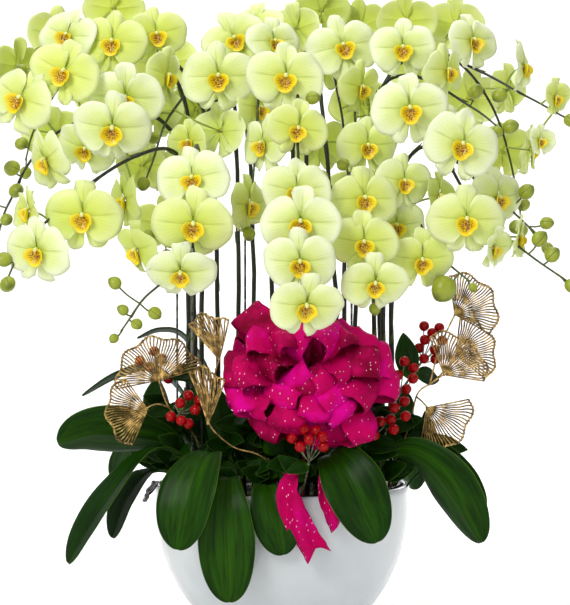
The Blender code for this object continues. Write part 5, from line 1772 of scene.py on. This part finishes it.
@dataclass
class Pot:
    """Round white bowl on a flat foot, and what fills it."""

    middle_z: float = 0.170
    radius: float = 0.156
    half_height: float = 0.188
    wall: float = 0.007
    rim_z: float = 0.186
    foot: float = 0.066
    floor: float = 0.010
    medium_top: float = 0.164
    steps: int = 128
    chips: int = 340
    film_thick: float = 0.0006
    film_rows: int = 8
    film_sides: int = 150

    def radius_at(self, z: float, inset: float = 0.0) -> float:
        """Radius of the bowl's outer face at a height, taken in by inset."""
        share = (z - self.middle_z) / (self.half_height - inset)
        return (self.radius - inset) * math.sqrt(max(0.0, 1 - share * share))

    def turned(self, form: Form, profile: Sequence[tuple[float, float]]) -> None:
        """Adds a solid of revolution.

        Args:
            form: Where it is added.
            profile: Its (radius, height) places from axis to axis.
        """
        rings = []
        for step, (radius, z) in enumerate(profile):
            rings.append([
                form.point(Vector((radius * math.cos(turn), radius * math.sin(turn), z)),
                           step / (len(profile) - 1), side / self.steps)
                for side in range(self.steps) for turn in (math.tau * side / self.steps,)
            ])
        form.quads(rings, looped=True)
        form.faces.append(tuple(rings[0][::-1]))
        form.faces.append(tuple(rings[-1]))

    def bowl(self, finish: Finish) -> None:
        """Makes the bowl, with a softly rounded rim and foot.

        Args:
            finish: Its finish.
        """
        form = Form(0.5)
        profile = [(0.01, 0.0015), (self.foot - 0.006, 0.0015), (self.foot - 0.004, 0.0),
                   (self.foot - 0.001, 0.0), (self.foot + 0.0006, 0.001)]
        profile += [(self.radius_at(z), z) for z in
                    (blend(0.003, self.rim_z - 0.004, step / 40) for step in range(41))]
        out, inside = self.radius_at(self.rim_z), self.radius_at(self.rim_z, self.wall)
        centre, half = (out + inside) / 2, (out - inside) / 2
        for step in range(7):
            turn = math.pi * step / 6
            profile.append((centre + half * math.cos(turn), self.rim_z - 0.0035 + 0.0035 * math.sin(turn)))
        profile += [(self.radius_at(z, self.wall), z) for z in
                    (blend(self.rim_z - 0.006, 0.026, step / 20) for step in range(21))]
        profile += [(self.foot, self.floor), (0.01, self.floor)]
        self.turned(form, profile)
        form.build("bowl", finish, Slot.BOWL, "pot")

    def medium(self, finish: Finish) -> None:
        """Makes the bed of bark: a lumpy ground and many chips on it.

        Args:
            finish: Its finish.
        """
        form = Form(0.1)
        low = self.floor + 0.0006
        profile = [(0.01, low), (self.foot - 0.002, low)]
        profile += [(self.radius_at(z, self.wall) - 0.0015, z)
                    for z in (0.03, 0.06, 0.09, 0.12, 0.145, 0.158)]
        profile += [(radius, self.medium_top - 0.002 + 0.002 * math.cos(radius * 150))
                    for radius in (0.142, 0.128, 0.112, 0.096, 0.08, 0.064, 0.048, 0.032, 0.016, 0.004)]
        first = len(form.points)
        self.turned(form, profile)
        for index in range(first, len(form.points)):
            place = form.points[index]
            if place.z > 0.159:
                form.points[index] = place + Vector((0, 0, noise.noise(place / 0.012) * 0.003))
        chance = random.Random(5)
        for _ in range(self.chips):
            turn, radius = chance.uniform(0, math.tau), 0.140 * math.sqrt(chance.random())
            place = Vector((radius * math.cos(turn), radius * math.sin(turn),
                            self.medium_top + chance.uniform(-0.001, 0.004)))
            size, yaw = chance.uniform(0.004, 0.011), chance.uniform(0, math.tau)
            way = Vector((math.cos(yaw), math.sin(yaw), chance.uniform(-0.35, 0.35))).normalized()
            form.tint = chance.random()
            route = [place + way * size * share + crumple(place + way * share, 0.01, 0.0008)
                     for share in (-1, -0.5, 0.1, 0.7, 1)]
            form.tube(route, [size * wide for wide in (0.12, 0.42, 0.5, 0.40, 0.1)], 6, flat=0.5)
        form.build("bark_bed", finish, Slot.MEDIUM, "growing_medium", smooth=False)

    def film(self, finish: Finish) -> None:
        """Makes the crumpled film that lines the bowl inside its rim.

        Args:
            finish: Its finish.
        """
        form = Form(0.5)
        rows = []
        for step in range(self.film_rows + 1):
            share = step / self.film_rows
            row = []
            for side in range(self.film_sides + 1):
                turn = math.tau * (side % self.film_sides) / self.film_sides
                radius = blend(0.112, 0.1455, share**0.8)
                z = 0.1655 + 0.021 * share**1.5
                place = Vector((radius * math.cos(turn), radius * math.sin(turn), z))
                push = crumple(place, 0.013, 0.0075 * math.sin(math.pi * blend(0.12, 0.9, share)))
                push.z = abs(push.z) * 0.8
                row.append(place + push * (1.0 if share < 0.9 else 0.45))
            rows.append(row)
        form.plate(rows, self.film_thick, 0.9)
        form.build("lining_film", finish, Slot.MEDIUM, "growing_medium")
        flap, rows = Form(0.5), []
        route = smooth_route([cm(point) for point in FLAP_ROUTE], 8)
        for centre in even_steps(route, 26):
            row = [centre + Vector((-0.3, 0.95, 0)) * 0.011 * over
                   for over in (-1, -0.66, -0.33, 0, 0.33, 0.66, 1)]
            rows.append([place + crumple(place, 0.008, 0.0045) for place in row])
        flap.plate(rows, 0.0005, 0.9)
        flap.build("film_flap", finish, Slot.MEDIUM, "growing_medium")


@dataclass
class Greenery:
    """Small dark leaves tucked between the stems and round the rim."""

    clumps: Sequence[Point]
    leaves: int = 5
    length: float = 0.045

    def build(self, finish: Finish) -> None:
        """Makes each clump as one piece.

        Args:
            finish: Its finish.
        """
        for number, clump in enumerate(self.clumps, 1):
            chance = random.Random(number + 40)
            top = cm(clump)
            root = Vector((top.x * 0.72, top.y * 0.72, 0.1645))
            form = Form(0.05)
            stem = smooth_route([root, root.lerp(top, 0.6) + Vector((0, 0, 0.01)), top], 8)
            form.tube(stem, [0.0013] * len(stem), 7)
            for leaf in range(self.leaves):
                start = stem[-1 - 2 * leaf]
                turn = chance.uniform(0, math.tau)
                way = Vector((math.cos(turn), math.sin(turn), chance.uniform(-0.1, 0.7))).normalized()
                way = (way + Vector((top.x, top.y, 0)) * 5).normalized()
                tip = start + way * self.length * chance.uniform(0.7, 1.2)
                BerrySprig.leaf(form, start, tip, leaf)
            form.build(f"greenery_{number:02d}", finish, Slot.LEAF, "growing_medium")


# Tops of the clumps of small leaves, in centimetres.
CLUMPS = [
    (-12.5, -5, 27), (-10.6, -6.5, 32), (-14.2, -3.5, 22), (-8.8, -5.2, 27), (-9.6, -8.6, 21.5),
    (-3.2, -9, 21), (-0.4, -11.6, 20.5), (1.6, -11.8, 22), (-2, -6, 25), (3.8, -9.8, 20.5),
    (6.6, -10.8, 21), (9.4, -9, 24), (10.8, -7, 30), (12.4, -5.6, 26), (12.6, -8.2, 20.4),
    (8, 8, 22), (-6.6, 8.4, 22.5), (0, 11, 21.5), (12, 5.4, 23), (-12.6, 4.6, 24), (4.2, 6, 26),
    (-2.8, 5.4, 26), (15.6, -6.4, 27.5), (17.4, -5.6, 24), (14.6, -7.4, 22.6), (18.6, -4.6, 21),
    (-15.4, -4.2, 26.5), (-12.2, -7.8, 23.4), (-4, -6, 26.5), (-6.4, -7, 24), (-2, -8.5, 23.6),
    (0.5, -8, 25), (-5.2, -9.6, 19.8), (2.4, -9.4, 22.8),
]


@dataclass
class Stakes:
    """Thin support stakes that the stems lean on."""

    rows: Sequence[Point]
    radius: float = 0.0014
    foot: float = 16.3
    steps: int = 24

    def build(self, finish: Finish) -> None:
        """Makes the stakes, each with small round ends.

        Args:
            finish: Their finish.
        """
        for number, (x, y, top) in enumerate(self.rows, 1):
            low, high = cm((x, y, self.foot)), cm((x, y, top))
            route = [low.lerp(high, step / self.steps) for step in range(self.steps + 1)]
            route += [high + Vector((0, 0, 0.0006)), high + Vector((0, 0, 0.0010))]
            radii = [self.radius] * (self.steps + 1) + [self.radius * 0.75, self.radius * 0.2]
            form = Form(0.5)
            form.tube(route, radii, 12)
            form.build(f"stake_{number}_rod", finish, Slot.STAKE, f"stake_{number}")


class Studio:
    """Pale floor, soft lights and the camera."""

    PALE = shade(250, 250, 250)
    GREY = shade(245, 245, 245)
    HALF_WIDTH = 9.0
    CURVE = 1.5
    AIR = 0.38
    FOCAL_LENGTH = 107.3

    def floor(self) -> None:
        """Lays the floor, which curves up far behind the pot."""
        finish = Finish("studio_paper", Roughness=0.7, Specular_IOR_Level=0.2)
        cloud = finish.grain(3.0, 2.0)
        finish.shine(Base_Color=finish.mixed(self.PALE, self.GREY, cloud))
        rows = []
        for side in (-self.HALF_WIDTH, self.HALF_WIDTH):
            row = [(side, -4.0, 0.0)]
            row += [(side, 3.0 + self.CURVE * math.sin(turn), self.CURVE - self.CURVE * math.cos(turn))
                    for turn in (math.pi / 2 * step / 24 for step in range(25))]
            rows.append([*row, (side, 4.5, 6.0)])
        count = len(rows[0])
        faces = [(i, i + 1, count + i + 1, count + i) for i in range(count - 1)]
        data = bpy.data.meshes.new("studio_floor")
        data.from_pydata([*rows[0], *rows[1]], [], faces)
        for face in data.polygons:
            face.use_smooth = True
        data.materials.append(finish.material)
        obj = bpy.data.objects.new("studio_floor", data)
        bpy.context.scene.collection.objects.link(obj)

    def lamp(self, name: str, place: Point, aim: Point, size: float, power: float, warmth: Colour) -> None:
        """Hangs a square soft light.

        Args:
            name: Name of the light.
            place: Where it hangs, in metres.
            aim: What it looks at.
            size: Its side, in metres.
            power: Its power, in watts.
            warmth: Its colour.
        """
        light = bpy.data.lights.new(name, "AREA")
        light.size, light.energy, light.color = size, power, warmth
        obj = bpy.data.objects.new(name, light)
        obj.location = place
        obj.rotation_euler = (Vector(aim) - Vector(place)).to_track_quat("-Z", "Y").to_euler()
        bpy.context.scene.collection.objects.link(obj)

    def lights(self) -> None:
        """Sets the lights and the pale surroundings."""
        aim = (0.0, 0.0, 0.45)
        self.lamp("light_key", (-1.3, -2.2, 1.9), aim, 1.2, 47, (1.0, 0.99, 0.96))
        self.lamp("light_fill", (1.9, -1.8, 0.9), aim, 1.6, 8, (0.97, 0.98, 1.0))
        self.lamp("light_top", (0.0, 0.2, 2.4), aim, 1.6, 20, (1.0, 1.0, 1.0))
        self.lamp("light_back", (0.6, 2.2, 1.6), aim, 1.6, 16, (1.0, 1.0, 0.98))
        self.lamp("light_paper", (0.0, 1.6, 2.6), (0.0, 4.4, 0.6), 2.5, 105, (1.0, 1.0, 1.0))
        world = bpy.data.worlds.new("studio_air")
        world.use_nodes = True
        air = world.node_tree.nodes["Background"]
        air.inputs["Color"].default_value = (1.0, 1.0, 1.0, 1.0)
        air.inputs["Strength"].default_value = self.AIR
        bpy.context.scene.world = world

    def camera(self) -> None:
        """Sets the camera level with the flowers, a little over two metres in front."""
        lens = bpy.data.cameras.new("camera")
        lens.lens, lens.sensor_width = self.FOCAL_LENGTH, 36.0
        obj = bpy.data.objects.new("camera", lens)
        obj.location = (0.004, -2.1997, 0.439)
        gaze = Vector((0.004, 0.0, 0.405)) - obj.location
        obj.rotation_euler = gaze.to_track_quat("-Z", "Y").to_euler()
        bpy.context.scene.collection.objects.link(obj)
        bpy.context.scene.camera = obj

    def develop(self) -> None:
        """Sets how colours are shown."""
        look = bpy.context.scene.view_settings
        look.view_transform = "Standard"
        look.look = "None"
        look.exposure = 0.0
        look.gamma = 1.0


def report(what: str, count: int) -> None:
    """Logs how many pieces of a kind were made."""
    LOG.info("%s: %d", what, count)


def main() -> None:
    """Builds the sub-assemblies in order and reports each."""
    logging.basicConfig(level=logging.INFO, format="%(name)s %(message)s")
    studio = Studio()
    studio.camera()
    studio.floor()
    studio.lights()
    studio.develop()
    pot = Pot()
    pot.bowl(GlazeFinish())
    pot.medium(BarkFinish())
    pot.film(FilmFinish())
    report("pot, bark bed and film", 4)
    stem, bud, petal, lip = StemFinish(), BudFinish(), PetalFinish(), LipFinish()
    for plan in SPIKES:
        spike = FlowerSpike(plan)
        spike.stem(stem)
        spike.buds(bud)
        spike.flowers(petal, lip)
        report(plan.name + " flowers", len(plan.blooms))
    leaf = LeafFinish()
    for plan in LEAVES:
        StrapLeaf(plan).blade(leaf)
    report("leaves", len(LEAVES))
    ribbon = RibbonFinish()
    report("ribbon loops", Bow(ribbon).build())
    for plan in TAILS:
        RibbonTail(plan).build(ribbon)
    gold = GoldFinish()
    for plan in PICKS:
        GoldPick(plan).build(gold)
    report("gold picks", len(PICKS))
    berry, twig = BerryFinish(), TwigFinish()
    for plan in SPRIGS:
        BerrySprig(plan).build(twig, berry, leaf)
    report("berry sprigs", len(SPRIGS))
    Greenery(CLUMPS).build(leaf)
    report("clumps of small leaves", len(CLUMPS))
    Stakes(STAKES).build(StakeFinish())
    report("stakes", len(STAKES))


if __name__ == "__main__":
    main()
